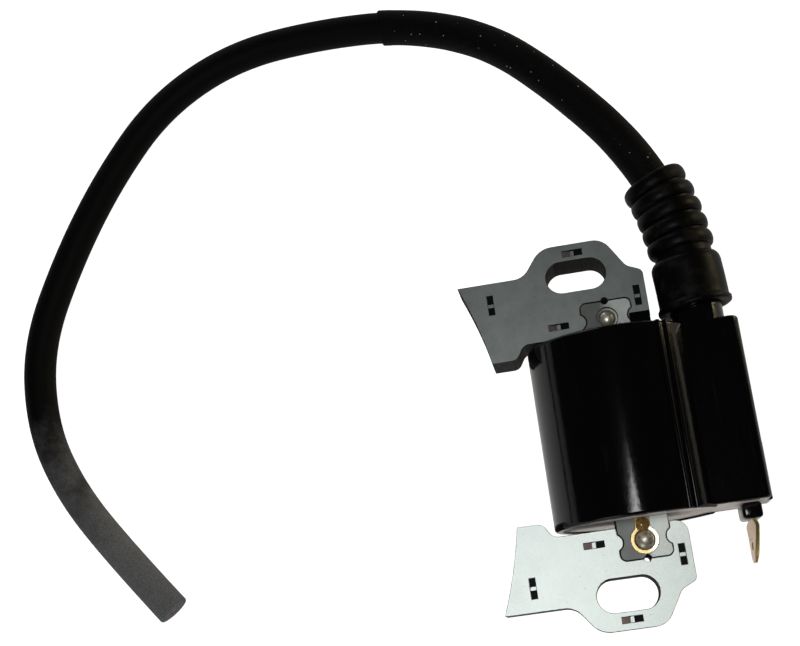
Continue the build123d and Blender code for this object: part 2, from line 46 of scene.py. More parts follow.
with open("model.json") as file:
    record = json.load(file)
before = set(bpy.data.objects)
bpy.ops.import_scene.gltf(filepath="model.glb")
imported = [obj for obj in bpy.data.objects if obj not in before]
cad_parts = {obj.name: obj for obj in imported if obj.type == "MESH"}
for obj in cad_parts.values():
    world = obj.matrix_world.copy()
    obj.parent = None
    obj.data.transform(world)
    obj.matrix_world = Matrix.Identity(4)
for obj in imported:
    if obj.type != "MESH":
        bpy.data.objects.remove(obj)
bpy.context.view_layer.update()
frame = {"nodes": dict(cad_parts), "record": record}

MM = 0.001
BODY = "root"
X, Y, Z = Vector((1, 0, 0)), Vector((0, 1, 0)), Vector((0, 0, 1))

# ---- Places read from the frame, metres ----


def corners(node):
    """Lowest and highest corner of a CAD node."""
    low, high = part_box(node)
    return Vector(low), Vector(high)


def mount_place(name):
    """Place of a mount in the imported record."""
    mount = next(m for m in frame["record"]["mounts"] if m["name"] == name)
    return Vector(mount["pos_m"])


stack_low, stack_high = corners("upper_leg")
bar_low, bar_high = corners("core_bar")
case_low, case_high = corners("coil_case")
rivets_low, rivets_high = corners("core_rivets")
strap_low, strap_high = corners("ground_strap")
bead_low, bead_high = corners("ground_resin_bead")
blade_low, blade_high = corners("kill_terminal")
boss_low, boss_high = corners("terminal_boss")
pin_low, pin_high = corners("high_voltage_pin")

slot_x = mount_place("upper_slot").x
axis_x = (bar_low.x + bar_high.x) / 2
axis_z = (bar_low.z + bar_high.z) / 2
stack_top = stack_high.z
tower_x = (pin_low.x + pin_high.x) / 2
tower_z = (pin_low.z + pin_high.z) / 2

# The lead's route from the tower to its bare end: X from the slots, Y, Z above the bench.
LEAD_START_Y = 0.0195
FIRST_BEND_Y = 0.039
ROUTE_REST = [
    (0.0157, 0.058, 0.0183),
    (0.0029, 0.0758, 0.0162),
    (-0.0103, 0.0911, 0.011),
    (-0.028, 0.1003, 0.0062),
    (-0.048, 0.1027, 0.0044),
    (-0.069, 0.1015, 0.0038),
    (-0.0875, 0.0925, 0.0035),
    (-0.101, 0.077, 0.0035),
    (-0.1117, 0.06, 0.0035),
    (-0.1207, 0.0405, 0.0035),
    (-0.121, 0.0217, 0.0035),
    (-0.1156, 0.0067, 0.0035),
    (-0.1056, -0.0083, 0.0035),
    (-0.0948, -0.0222, 0.0035),
]

# ---- Settings ----


def length(name, description, millimetres):
    """A length setting, given in millimetres and kept in metres."""
    return FloatProperty(
        name=name, description=description, default=millimetres * MM, unit="LENGTH", precision=5
    )


def colour(name, description, value):
    """A colour setting."""
    return FloatVectorProperty(
        name=name, description=description, default=value, subtype="COLOR", min=0, max=1
    )


def number(name, description, count, least):
    """A setting for how many there are."""
    return IntProperty(name=name, description=description, default=count, min=least)


def power(name, description, watts):
    """A light's power setting."""
    return FloatProperty(name=name, description=description, default=watts, unit="POWER")


class CoreSettings(bpy.types.PropertyGroup):
    """Laminated core, rivets and earth strap."""

    sheet_count: number("Sheets", "Steel sheets in the stack", 16, 2)
    sheet_joint: length("Joint", "Dark gap between two sheets", 0.03)
    sheet_edge: length("Sheet edge", "Rounding of each sheet's cut edge", 0.09)
    tongue_length: length("Tongue", "Length of the pressed tongue between two sheets", 4.0)
    tongue_floor: length("Tongue floor", "Flat at the bottom of a tongue", 0.7)
    sheet_stray: length("Stray", "How far a sheet sits out of line", 0.03)
    bar_edge: length("Bar edge", "Rounding of the core bar's sheets", 0.16)
    # Painted shade and painted light: the upper leg is coloured darker and the lower leg lighter
    # for how light falls on each.
    upper_steel_shaded: colour("Upper steel", "Colour of the upper leg", (0.215, 0.24, 0.235))
    # Painted shade: the upper leg's cut edges are near black for the shade in its slot; the core
    # bar's edges use this colour too.
    upper_wall_shaded: colour("Upper edges", "Colour of the upper leg's cut edges", (0.09, 0.085, 0.08))
    lower_steel_lit: colour("Lower steel", "Colour of the lower leg", (0.64, 0.70, 0.67))
    lower_wall: colour("Lower edges", "Colour of the lower leg's cut edges", (0.22, 0.18, 0.165))
    bar_steel: colour("Bar steel", "Colour of the core bar", (0.48, 0.51, 0.48))
    rivet_steel: colour("Rivet steel", "Colour of the rivet heads", (0.78, 0.74, 0.62))
    strap_metal: colour("Strap metal", "Colour of the earth strap", (0.66, 0.63, 0.50))
    varnish: colour("Varnish", "Colour of the varnish bead", (0.42, 0.24, 0.05))


class CaseSettings(bpy.types.PropertyGroup):
    """Moulded case, its resin and the kill terminal."""

    wall: length("Wall", "Wall of the case", 1.6)
    end_round: length("End rounding", "Rounding of the case's ends", 0.7)
    module_top: length("Module top", "Top of the module box above the bar's axis", 10.3)
    module_bottom: length("Module bottom", "Bottom of the module box below the bar's axis", 8.7)
    module_corner: length("Module corner", "Corner radius of the module box", 2.0)
    module_inset: length("Module inset", "Module box shorter than the barrel, at each end", 0.35)
    pad_thickness: length("Pad", "Thickness of the pad on the module's side", 0.6)
    pad_length: length("Pad length", "Length of the pad", 11.5)
    pad_height: length("Pad height", "Height of the pad", 9.0)
    rib_radius: length("Seam rib", "Radius of the ribs beside the module", 0.55)
    tower_radius: length("Tower", "Outer radius of the high tension tower", 5.2)
    tower_bore: length("Tower bore", "Radius of the tower's socket", 3.6)
    tower_floor: length("Tower floor", "Floor of the tower's socket", 1.2)
    plastic: colour("Plastic", "Colour of the case", (0.0015, 0.0015, 0.0017))
    resin: colour("Resin", "Colour of the potting resin", (0.95, 0.84, 0.78))
    brass: colour("Brass", "Colour of the blade", (0.80, 0.60, 0.36))


class LeadSettings(bpy.types.PropertyGroup):
    """High tension lead, its sleeve and its boot."""

    lead_radius: length("Lead radius", "Outer radius of the lead", 3.5)
    core_radius: length("Core radius", "Radius of the copper core", 0.8)
    end_round: length("End rounding", "Rounding of the lead's cut end", 0.35)
    sleeve_radius: length("Sleeve radius", "Outer radius of the sleeve", 4.0)
    sleeve_start: length("Sleeve start", "Along the lead", 27.0)
    sleeve_end: length("Sleeve end", "Along the lead", 108.0)
    boot_start: length("Boot start", "Along the lead", 2.3)
    mouth_lean: length("Mouth lean", "How far one side of the cup's mouth is pushed up", 0.6)
    boot_length: length("Boot length", "Along the lead", 28.8)
    cup_radius: length("Cup radius", "Outer radius of the boot's cup", 7.1)
    cup_lip: length("Cup lip", "Height of the lip round the cup's mouth", 0.4)
    cup_length: length("Cup length", "Length of the boot's cup", 10.8)
    neck_radius: length("Neck radius", "Radius between the boot's ribs", 5.8)
    rib_radius: length("Rib radius", "Outer radius of the boot's ribs", 6.8)
    rib_pitch: length("Rib pitch", "From rib to rib", 3.4)
    rib_count: number("Ribs", "Ribs on the boot", 5, 1)
    rubber: colour("Rubber", "Colour of the boot and sleeve", (0.002, 0.002, 0.002))
    lead_black: colour("Lead", "Colour of the lead at the boot", (0.002, 0.002, 0.002))
    lead_worn: colour("Worn lead", "Colour of the lead at its free end", (0.19, 0.19, 0.19))


class StageSettings(bpy.types.PropertyGroup):
    """Floor, lights and camera."""

    floor_colour: colour("Floor", "Colour of the floor", (0.93, 0.93, 0.93))
    floor_glow: FloatProperty(
        name="Floor glow", description="Light given off by the floor", default=0.95
    )
    flash_power: power("Flash", "Power of the light beside the camera", 0.23)
    fill_power: power("Fill", "Power of each soft light low down at the ends", 1.2)
    edge_power: power("Edge light", "Power of the warm side light", 2.2)


# ---- Node trees ----


class Value:
    """A node's output socket that takes part in Python arithmetic."""

    def __init__(self, nodes, socket):
        self.nodes = nodes
        self.socket = socket

    def math(self, operation, *values):
        return self.nodes.add("ShaderNodeMath", {"operation": operation}, values)

    def __add__(self, other):
        return self.math("ADD", self, other)

    def __sub__(self, other):
        return self.math("SUBTRACT", self, other)

    def __rsub__(self, other):
        return self.math("SUBTRACT", other, self)

    def __mul__(self, other):
        return self.math("MULTIPLY", self, other)

    def __truediv__(self, other):
        return self.math("DIVIDE", self, other)

    def __abs__(self):
        return self.math("ABSOLUTE", self)

    __radd__ = __add__
    __rmul__ = __mul__

    def above(self, low, high):
        """0 below low, 1 above high, smooth between them."""
        return self.nodes.add(
            "ShaderNodeMapRange",
            {"interpolation_type": "SMOOTHSTEP"},
            {"Value": self, "From Min": low, "From Max": high},
        )


class Nodes:
    """Adds nodes to one node tree."""

    def __init__(self, tree):
        self.tree = tree

    def add(self, kind, settings=None, sockets=(), output=0):
        """A new node: its settings first, then the values or links of its sockets."""
        node = self.tree.nodes.new(kind)
        for name, setting in (settings or {}).items():
            setattr(node, name, setting)
        pairs = sockets.items() if isinstance(sockets, dict) else enumerate(sockets)
        for key, value in pairs:
            socket = node.inputs[key]
            for one in value if isinstance(value, list) else [value]:
                if isinstance(one, Value):
                    self.tree.links.new(one.socket, socket)
                else:
                    socket.default_value = one
        return Value(self, node.outputs[output]) if len(node.outputs) else None

    def place(self, scale=(1, 1, 1)):
        """Object coordinates, stretched where the scale is small."""
        spot = self.add("ShaderNodeTexCoord", output="Object")
        if scale == (1, 1, 1):
            return spot
        return self.add("ShaderNodeMapping", {}, {"Vector": spot, "Scale": scale})

    def noise(self, size, detail=2.0, stretch=(1, 1, 1), roughness=0.5, distortion=0.0):
        """Noise whose patches are about as wide as size, in metres."""
        return self.add(
            "ShaderNodeTexNoise",
            {},
            {
                "Vector": self.place(stretch),
                "Scale": 1 / size,
                "Detail": detail,
                "Roughness": roughness,
                "Distortion": distortion,
            },
        )

    def specks(self, size, stretch=(1, 1, 1)):
        """Distance from the nearest of many scattered points, in cell widths."""
        return self.add(
            "ShaderNodeTexVoronoi", {}, {"Vector": self.place(stretch), "Scale": 1 / size}
        )

    def axis(self, vector, name):
        """One component of a vector."""
        return self.add("ShaderNodeSeparateXYZ", {}, [vector], output=name)

    def facing_up(self):
        """1 where a face points straight up or down, 0 on a wall."""
        normal = self.add("ShaderNodeNewGeometry", output="Normal")
        return abs(self.axis(normal, "Z"))

    def attribute(self, name):
        """A number kept on the mesh."""
        return self.add("ShaderNodeAttribute", {"attribute_name": name}, output="Fac")

    def blend(self, share, low, high):
        """Colour that goes from low to high with share."""
        sockets = {0: share, 6: shade(low), 7: shade(high)}
        return self.add("ShaderNodeMix", {"data_type": "RGBA"}, sockets, output=2)

    def bump(self, height, depth, strength=1.0):
        """Normal for a height that goes from 0 to 1 over a depth in metres."""
        sockets = {"Height": height, "Distance": depth, "Strength": strength}
        return self.add("ShaderNodeBump", {}, sockets)

    def surface(self, base, roughness, normal=None, **fixed):
        """The shader, with sockets that stay the same named as keywords."""
        sockets = {"Base Color": shade(base), "Roughness": roughness}
        if normal is not None:
            sockets["Normal"] = normal
        for name, value in fixed.items():
            sockets[name.replace("_", " ")] = value
        return self.add("ShaderNodeBsdfPrincipled", {}, sockets)


def shade(value):
    """A colour with its alpha; a link stays as it is."""
    return value if isinstance(value, Value) else (*value[:3], 1.0)


def material(name, build, *values):
    """A new material whose nodes are laid by a build function."""
    made = bpy.data.materials.new(name)
    made.use_nodes = True
    made.node_tree.nodes.clear()
    nodes = Nodes(made.node_tree)
    nodes.add("ShaderNodeOutputMaterial", {}, {"Surface": build(nodes, *values)})
    return made


# ---- Finishes ----


def scaled(shade_value, factor):
    """A colour made lighter or darker."""
    return tuple(min(1.0, c * factor) for c in tuple(shade_value)[:3])


def sheet_steel(nodes, steel, wall, wear, left_darkening):
    """Stamped electrical steel: rolled grain, stains, cut edges, and pressed slopes painted near
    black as painted shade, with painted light where a slope faces +X.
    """
    grain = nodes.noise(0.10 * MM, 2, (0.12, 1, 1), 0.6)
    speckle = nodes.noise(0.22 * MM, 3, (1, 1, 0.2), 0.65)
    mottle = nodes.noise(3.5 * MM, 4, (1, 1, 0.1), 0.6)
    stain = nodes.noise(1.6 * MM, 4, (1, 1, 0.05), 0.7, 0.6).above(0.66, 0.80)
    pits = 1 - nodes.specks(1.9 * MM).above(0.03, 0.08)
    tone = grain * 0.30 + speckle * 0.40 + mottle * 0.55
    face = nodes.blend(tone.above(0.38, 0.82), scaled(steel, 0.80), scaled(steel, 1.18))
    face = nodes.blend(stain * wear, face, (0.24, 0.20, 0.14))
    face = nodes.blend(pits * 0.6, face, scaled(steel, 0.25))
    # Darkens the face to about a quarter of its colour left of the bar's axis, with a ragged edge;
    # only the core bar uses it.
    side = nodes.axis(nodes.place(), "X") / (5 * MM) - axis_x / (5 * MM) + mottle
    left_half = 1 - side.above(0.2, 0.9)
    face = nodes.blend(left_half * left_darkening, face, scaled(steel, 0.26))
    rust = nodes.noise(0.9 * MM, 3, (1, 1, 2.5), 0.6).above(0.42, 0.66)
    cut = nodes.blend(rust, wall, scaled(wall, 0.55))
    slope = nodes.facing_up()
    # Painted light and shade on the pressed tongue slopes: near black, but pale where a slope
    # faces +X.
    rightward = nodes.axis(nodes.add("ShaderNodeNewGeometry", output="Normal"), "X")
    pressed = nodes.blend(rightward.above(0.22, 0.32), scaled(steel, 0.04), scaled(wall, 2.2))
    base = nodes.blend(slope.above(0.30, 0.60), cut, pressed)
    flat = slope.above(0.945, 0.985)
    base = nodes.blend(flat, base, face)
    rough = speckle * 0.20 + mottle * 0.14 + 0.68 - flat * 0.38
    normal = nodes.bump(grain * 0.6 + speckle * 0.5, 0.012 * MM, 0.6)
    return nodes.surface(base, rough, normal, Metallic=0.72)


def worn_metal(nodes, metal, dirt, roughness):
    """Formed metal part: rubbed high spots and dirt in patches."""
    patch = nodes.noise(0.9 * MM, 4, (1, 1, 1), 0.65).above(0.46, 0.68)
    fine = nodes.noise(0.15 * MM, 2)
    base = nodes.blend(patch, metal, dirt)
    rough = patch * 0.25 + fine * 0.15 + roughness
    return nodes.surface(base, rough, nodes.bump(fine, 0.015 * MM, 0.5), Metallic=0.85)


def strap_finish(nodes, metal):
    """Tinned ring, bright on one side and varnished amber on the other."""
    side = nodes.axis(nodes.place(), "X") / (1.4 * MM) - axis_x / (1.4 * MM)
    ragged = nodes.noise(0.8 * MM, 3)
    varnished = 1 - (side + ragged * 1.6 - 0.8).above(0.3, 1.1)
    base = nodes.blend(varnished * 0.9, metal, (0.27, 0.20, 0.07))
    fine = nodes.noise(0.2 * MM, 3)
    return nodes.surface(base, fine * 0.2 + 0.18, nodes.bump(fine, 0.01 * MM, 0.5), Metallic=0.9)


def glossy_case(nodes, plastic):
    """Glossy black moulding: orange peel, flow lines, fine scuffs and pale dust."""
    peel = nodes.noise(0.55 * MM, 3, (1, 0.45, 1), 0.6)
    ripple = nodes.noise(1.7 * MM, 3, (1, 0.6, 1), 0.6)
    flow = nodes.noise(0.35 * MM, 2, (1, 0.03, 1), 0.5).above(0.66, 0.74)
    scuff = nodes.noise(0.30 * MM, 4, (1, 0.25, 1), 0.7).above(0.60, 0.80)
    dust = 1 - nodes.specks(1.5 * MM).above(0.02, 0.05)
    base = nodes.blend(flow * 0.03 + dust * 0.15, plastic, (0.20, 0.17, 0.13))
    rough = scuff * 0.16 + peel * 0.06 + 0.07
    height = peel * 0.5 + ripple
    return nodes.surface(base, rough, nodes.bump(height, 0.034 * MM, 0.6), IOR=1.36)


def cast_resin(nodes, resin):
    """Pale potting resin: cloudy, with a few pores and a satin skin."""
    cloud = nodes.noise(2.8 * MM, 4, (1, 1, 1), 0.6)
    pores = 1 - nodes.specks(1.3 * MM).above(0.05, 0.11)
    fine = nodes.noise(0.25 * MM, 3)
    base = nodes.blend(cloud.above(0.3, 0.7), scaled(resin, 0.86), scaled(resin, 1.08))
    # Painted shade: each pore is coloured darker for the shade inside it, besides its dent in the
    # bump.
    base = nodes.blend(pores * 0.6, base, scaled(resin, 0.35))
    height = cloud * 0.8 + fine * 0.2 - pores * 0.5
    return nodes.surface(base, fine * 0.15 + 0.32, nodes.bump(height, 0.05 * MM, 0.5))


def amber(nodes, varnish):
    """Clear amber varnish, deeper where it is thick."""
    swirl = nodes.noise(1.1 * MM, 3, (1, 1, 1), 0.6, 0.8)
    base = nodes.blend(swirl.above(0.35, 0.7), scaled(varnish, 0.65), scaled(varnish, 1.7))
    normal = nodes.bump(swirl, 0.05 * MM, 0.35)
    return nodes.surface(base, swirl * 0.06 + 0.05, normal, Transmission_Weight=0.35, IOR=1.5)


def brass(nodes, metal):
    """Stamped brass blade: painted light, pale pinkish where it faces up and olive where it faces
    sideways, and a brown stain.
    """
    # Painted light: surfaces facing up take a pale pinkish colour, surfaces facing sideways an
    # olive one.
    up = nodes.facing_up().above(0.45, 0.85)
    grain = nodes.noise(0.12 * MM, 2, (1, 0.15, 1), 0.6)
    patch = nodes.noise(1.2 * MM, 4, (1, 1, 1), 0.65)
    stain = patch.above(0.60, 0.70)
    face = nodes.blend(grain, scaled(metal, 0.95), (0.95, 0.76, 0.66))
    base = nodes.blend(up, face, (0.52, 0.42, 0.13))
    base = nodes.blend(stain * 0.8, base, (0.12, 0.07, 0.03))
    rough = stain * 0.3 + grain * 0.15 + 0.22
    return nodes.surface(base, rough, nodes.bump(grain, 0.01 * MM, 0.5), Metallic=0.9)


def moulded_rubber(nodes, rubber):
    """Black boot rubber: satin skin with dust held in the grooves."""
    skin = nodes.noise(0.35 * MM, 3, (1, 1, 1), 0.6)
    smear = nodes.noise(3.2 * MM, 3, (1, 1, 1), 0.55).above(0.50, 0.72)
    dust = nodes.noise(0.12 * MM, 3, (1, 1, 1), 0.7).above(0.68, 0.80)
    base = nodes.blend(smear * 0.03 + dust * 0.08, rubber, (0.34, 0.28, 0.21))
    rough = skin * 0.18 + smear * 0.18 + 0.30
    return nodes.surface(base, rough, nodes.bump(skin, 0.03 * MM, 0.5), IOR=1.18)


def speckled_sleeve(nodes, rubber):
    """Black sleeve with small white specks and lengthwise drag marks."""
    specks = 1 - nodes.specks(2.1 * MM).above(0.035, 0.075)
    drag = nodes.noise(0.35 * MM, 2, (1, 1, 1), 0.6).above(0.66, 0.76)
    skin = nodes.noise(0.5 * MM, 3, (1, 1, 1), 0.6)
    base = nodes.blend(specks * 0.85 + drag * 0.05, rubber, (0.70, 0.70, 0.68))
    return nodes.surface(base, skin * 0.25 + 0.50, nodes.bump(skin, 0.035 * MM, 0.5), IOR=1.18)


def worn_lead(nodes, black, worn):
    """Lead insulation: black at the boot, fading to a rubbed, dusty grey at its bare end."""
    along = nodes.attribute("along")
    patch = nodes.noise(7 * MM, 4, (1, 1, 1), 0.6)
    skin = nodes.noise(0.30 * MM, 3, (1, 1, 1), 0.65)
    scratch = nodes.noise(0.16 * MM, 3, (1, 1, 1), 0.75).above(0.62, 0.80)
    fade = (along + patch * 0.16 - 0.08).above(0.80, 0.95)
    dusty = nodes.blend(skin.above(0.3, 0.75), scaled(worn, 0.70), scaled(worn, 1.30))
    base = nodes.blend(fade, black, dusty)
    base = nodes.blend(scratch * (fade * 0.3 + 0.04), base, (0.30, 0.27, 0.25))
    rough = fade * 0.10 + skin * 0.18 + 0.52
    return nodes.surface(base, rough, nodes.bump(skin, 0.03 * MM, 0.6), IOR=1.18)


def copper(nodes, metal):
    """Copper wire under clear enamel, or bare strands dulled by air."""
    turns = nodes.noise(0.2 * MM, 2, (1, 1, 1), 0.6)
    base = nodes.blend(turns.above(0.3, 0.7), scaled(metal, 0.6), scaled(metal, 1.3))
    return nodes.surface(base, turns * 0.2 + 0.25, nodes.bump(turns, 0.02 * MM, 0.5), Metallic=0.9)


def plain_moulding(nodes, tint):
    """Matt moulded or cast part with a fine skin."""
    skin = nodes.noise(0.4 * MM, 3, (1, 1, 1), 0.6)
    base = nodes.blend(skin.above(0.3, 0.7), scaled(tint, 0.8), scaled(tint, 1.25))
    return nodes.surface(base, skin * 0.2 + 0.4, nodes.bump(skin, 0.02 * MM, 0.5))


def lit_floor(nodes, tint, glow):
    """Pale seamless floor, lit from below, whose glow on the coil is softer than it looks."""
    cloud = nodes.noise(0.4, 2)
    base = nodes.blend(cloud, scaled(tint, 0.99), tint)
    seen = nodes.add("ShaderNodeLightPath", output="Is Camera Ray")
    light = nodes.blend(seen, (0.28, 0.27, 0.26), (1, 1, 1))
    fixed = {"Emission_Color": light, "Emission_Strength": glow}
    return nodes.surface(base, cloud * 0.05 + 0.7, **fixed)


# ---- Mesh work ----


def link(name, data):
    """A new object in the scene."""
    made = bpy.data.objects.new(name, data)
    bpy.context.scene.collection.objects.link(made)
    return made


def mesh_from(work, name):
    """Mesh of a finished bmesh, with its normals pointing out."""
    bmesh.ops.recalc_face_normals(work, faces=work.faces)
    made = bpy.data.meshes.new(name)
    work.to_mesh(made)
    work.free()
    return made


def smoothed(mesh, degrees=38):
    """Smooth shading that keeps edges sharper than an angle."""
    mesh.shade_smooth()
    mesh.set_sharp_from_angle(angle=math.radians(degrees))
    return mesh


def evaluated(piece):
    """Plain mesh of an object with its modifiers applied."""
    graph = bpy.context.evaluated_depsgraph_get()
    return bpy.data.meshes.new_from_object(piece.evaluated_get(graph))


def piece_of(name, mesh, finish, slot, *nodes):
    """A piece that rides on the body, takes the given finish and replaces CAD nodes; its slot is
    not used.
    """
    made = link(name, mesh)
    mesh.materials.clear()
    mesh.materials.append(finish)
    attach(made, BODY)
    if nodes:
        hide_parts(*nodes)
    return made


def skin(work, rings, closed=False):
    """Quads between rings of equal count; open ends are capped, or the last joins the first."""
    rows = [[work.verts.new(point) for point in ring] for ring in rings]
    count = len(rows[0])
    pairs = list(zip(rows, rows[1:] + rows[:1])) if closed else list(zip(rows, rows[1:]))
    for low, high in pairs:
        for i in range(count):
            j = (i + 1) % count
            work.faces.new((low[i], low[j], high[j], high[i]))
    if not closed:
        work.faces.new(rows[0])
        work.faces.new(rows[-1])


def solid_through(name, rings, closed=False):
    """Mesh of the closed solid through a run of outlines."""
    work = bmesh.new()
    skin(work, rings, closed)
    return mesh_from(work, name)


def circle(centre, side, up, radius, count):
    """Points round a centre in the plane of two directions."""
    turns = [math.tau * i / count for i in range(count)]
    return [centre + (side * math.cos(t) + up * math.sin(t)) * radius for t in turns]


def lathe(work, profile, centre, count=40):
    """Closed solid turned about an upright axis; a zero radius makes a pole."""
    rows = []
    for radius, height in profile:
        middle = Vector((centre.x, centre.y, height))
        if radius == 0:
            rows.append([work.verts.new(middle)])
        else:
            ring = circle(middle, X, Y, radius, count)
            rows.append([work.verts.new(point) for point in ring])
    for low, high in zip(rows, rows[1:]):
        for i in range(count):
            j = (i + 1) % count
            below, above = len(low), len(high)
            corner = [low[i % below], low[j % below], high[j % above], high[i % above]]
            work.faces.new(list(dict.fromkeys(corner)))


def rounded_box(name, low, high, radius, steps=3):
    """Mesh of a box with every edge rounded."""
    work = bmesh.new()
    bmesh.ops.create_cube(work, size=1.0)
    for vert in work.verts:
        vert.co = Vector(h if c > 0 else l for c, l, h in zip(vert.co, low, high))
    bmesh.ops.bevel(
        work, geom=work.edges[:], offset=radius, segments=steps, profile=0.5, affect="EDGES"
    )
    return mesh_from(work, name)


def combined(base, others, operation):
    """Mesh of a base mesh after a boolean with each other mesh; the others are used up."""
    target = link("boolean_base", base)
    cutters = []
    for other in others:
        cutter = link("boolean_part", other)
        step = target.modifiers.new("cut", "BOOLEAN")
        step.operation = operation
        step.solver = "EXACT"
        step.object = cutter
        cutters.append(cutter)
    made = evaluated(target)
    for spare in [target, *cutters]:
        bpy.data.objects.remove(spare)
    return made


# ---- Geometry Nodes trees ----


def new_tree(name, inputs):
    """An empty Geometry Nodes tree with named inputs: its node maker and its input values."""
    tree = bpy.data.node_groups.new(name, "GeometryNodeTree")
    for label, kind in inputs.items():
        tree.interface.new_socket(label, in_out="INPUT", socket_type="NodeSocket" + kind)
    tree.interface.new_socket("Geometry", in_out="OUTPUT", socket_type="NodeSocketGeometry")
    nodes = Nodes(tree)
    source = tree.nodes.new("NodeGroupInput")
    return nodes, {label: Value(nodes, source.outputs[label]) for label in inputs}


def close_tree(nodes, geometry, finish):
    """Real faces and their material at the end of a tree."""
    real = nodes.add("GeometryNodeRealizeInstances", {}, [geometry])
    dressed = nodes.add("GeometryNodeSetMaterial", {}, {"Geometry": real, "Material": finish})
    nodes.add("NodeGroupOutput", {}, [dressed])
    return nodes.tree


def run_tree(base, tree, values):
    """Mesh that a tree makes of a base mesh, with its inputs set by identifier."""
    holder = link("tree_base", base)
    modifier = holder.modifiers.new(tree.name, "NODES")
    modifier.node_group = tree
    for item in tree.interface.items_tree:
        if item.in_out == "INPUT" and item.name in values:
            modifier[item.identifier] = values[item.name]
    made = evaluated(holder)
    bpy.data.objects.remove(holder)
    return made


def stack_tree():
    """Sheets repeated up a line, a top sheet of its own, and pressed tongues between sheets."""
    nodes, given = new_tree(
        "Sheet Stack",
        {
            "Base": "Geometry",
            "Sheet": "Object",
            "Top Sheet": "Object",
            "Tongues": "Object",
            "Count": "Int",
            "Pitch": "Float",
            "Stray": "Float",
            "Seed": "Int",
            "Material": "Material",
        },
    )
    offset = nodes.add("ShaderNodeCombineXYZ", {}, {"Z": given["Pitch"]})
    line = nodes.add(
        "GeometryNodeMeshLine", {"mode": "OFFSET"}, {"Count": given["Count"], "Offset": offset}
    )
    index = nodes.add("GeometryNodeInputIndex")
    shift = nodes.add(
        "FunctionNodeRandomValue",
        {"data_type": "FLOAT"},
        {2: 0 - given["Stray"], 3: given["Stray"], "ID": index, "Seed": given["Seed"]},
        output=1,
    )
    push = nodes.add("ShaderNodeCombineXYZ", {}, {"X": shift})
    points = nodes.add("GeometryNodeSetPosition", {}, {"Geometry": line, "Offset": push})
    top = nodes.add(
        "FunctionNodeCompare",
        {"data_type": "INT", "operation": "GREATER_EQUAL"},
        {2: index, 3: given["Count"] - 1},
    )
    below = nodes.add("FunctionNodeBooleanMath", {"operation": "NOT"}, [top])
    lifted = nodes.add(
        "FunctionNodeCompare", {"data_type": "INT", "operation": "GREATER_THAN"}, {2: index, 3: 0}
    )
    layers = []
    for label, chosen in (("Sheet", below), ("Top Sheet", top), ("Tongues", lifted)):
        shape = nodes.add("GeometryNodeObjectInfo", {}, [given[label]], output="Geometry")
        sockets = {"Points": points, "Selection": chosen, "Instance": shape}
        layers.append(nodes.add("GeometryNodeInstanceOnPoints", {}, sockets))
    joined = nodes.add("GeometryNodeJoinGeometry", {}, [layers])
    return close_tree(nodes, joined, given["Material"])


def rib_tree():
    """Ring ribs set square on a path at an even pitch, joined to a body."""
    nodes, given = new_tree(
        "Boot Ribs",
        {
            "Body": "Geometry",
            "Path": "Object",
            "Rib": "Object",
            "Count": "Int",
            "Material": "Material",
        },
    )
    path = nodes.add("GeometryNodeObjectInfo", {}, [given["Path"]], output="Geometry")
    sockets = {"Curve": path, "Count": given["Count"]}
    points = nodes.add("GeometryNodeCurveToPoints", {"mode": "COUNT"}, sockets)
    turn = Value(nodes, points.socket.node.outputs["Rotation"])
    rib = nodes.add("GeometryNodeObjectInfo", {}, [given["Rib"]], output="Geometry")
    sockets = {"Points": points, "Instance": rib, "Rotation": turn}
    ribs = nodes.add("GeometryNodeInstanceOnPoints", {}, sockets)
    joined = nodes.add("GeometryNodeJoinGeometry", {}, [[given["Body"], ribs]])
    return close_tree(nodes, joined, given["Material"])


# ---- Core ----

RIVET_HEAD = 1.75 * MM
RIVET_SHANK = 1.3 * MM
TONGUE_SHARE = 0.94  # of its window's width


def sheet_pitch(core):
    """From the underside of one sheet to the next."""
    return (stack_high.z - stack_low.z) / core.sheet_count


def outlines(node, height):
    """Closed outlines of a CAD node cut level at a height, without points in line."""
    work = bmesh.new()
    work.from_mesh(frame["nodes"][node].data)
    bmesh.ops.remove_doubles(work, verts=work.verts, dist=0.001 * MM)
    bmesh.ops.bisect_plane(
        work,
        geom=work.verts[:] + work.edges[:] + work.faces[:],
        plane_co=(0, 0, height),
        plane_no=(0, 0, 1),
        clear_inner=True,
        clear_outer=True,
    )
    bmesh.ops.remove_doubles(work, verts=work.verts, dist=0.002 * MM)
    left = set(work.edges)
    loops = []
    for edge in work.edges:
        if edge not in left:
            continue
        left.discard(edge)
        first, here = edge.verts
        loop = [first.co.copy()]
        while here is not first:
            loop.append(here.co.copy())
            edge = next(e for e in here.link_edges if e in left)
            left.discard(edge)
            here = edge.other_vert(here)
        loops.append(without_straights(loop))
    work.free()
    return loops


def without_straights(loop):
    """A closed outline without the points that lie in line with their neighbours."""
    kept = []
    for before, here, after in zip(loop[-1:] + loop[:-1], loop, loop[1:] + loop[:1]):
        if (here - before).angle(after - here, 0) > math.radians(0.4):
            kept.append(here)
    return kept


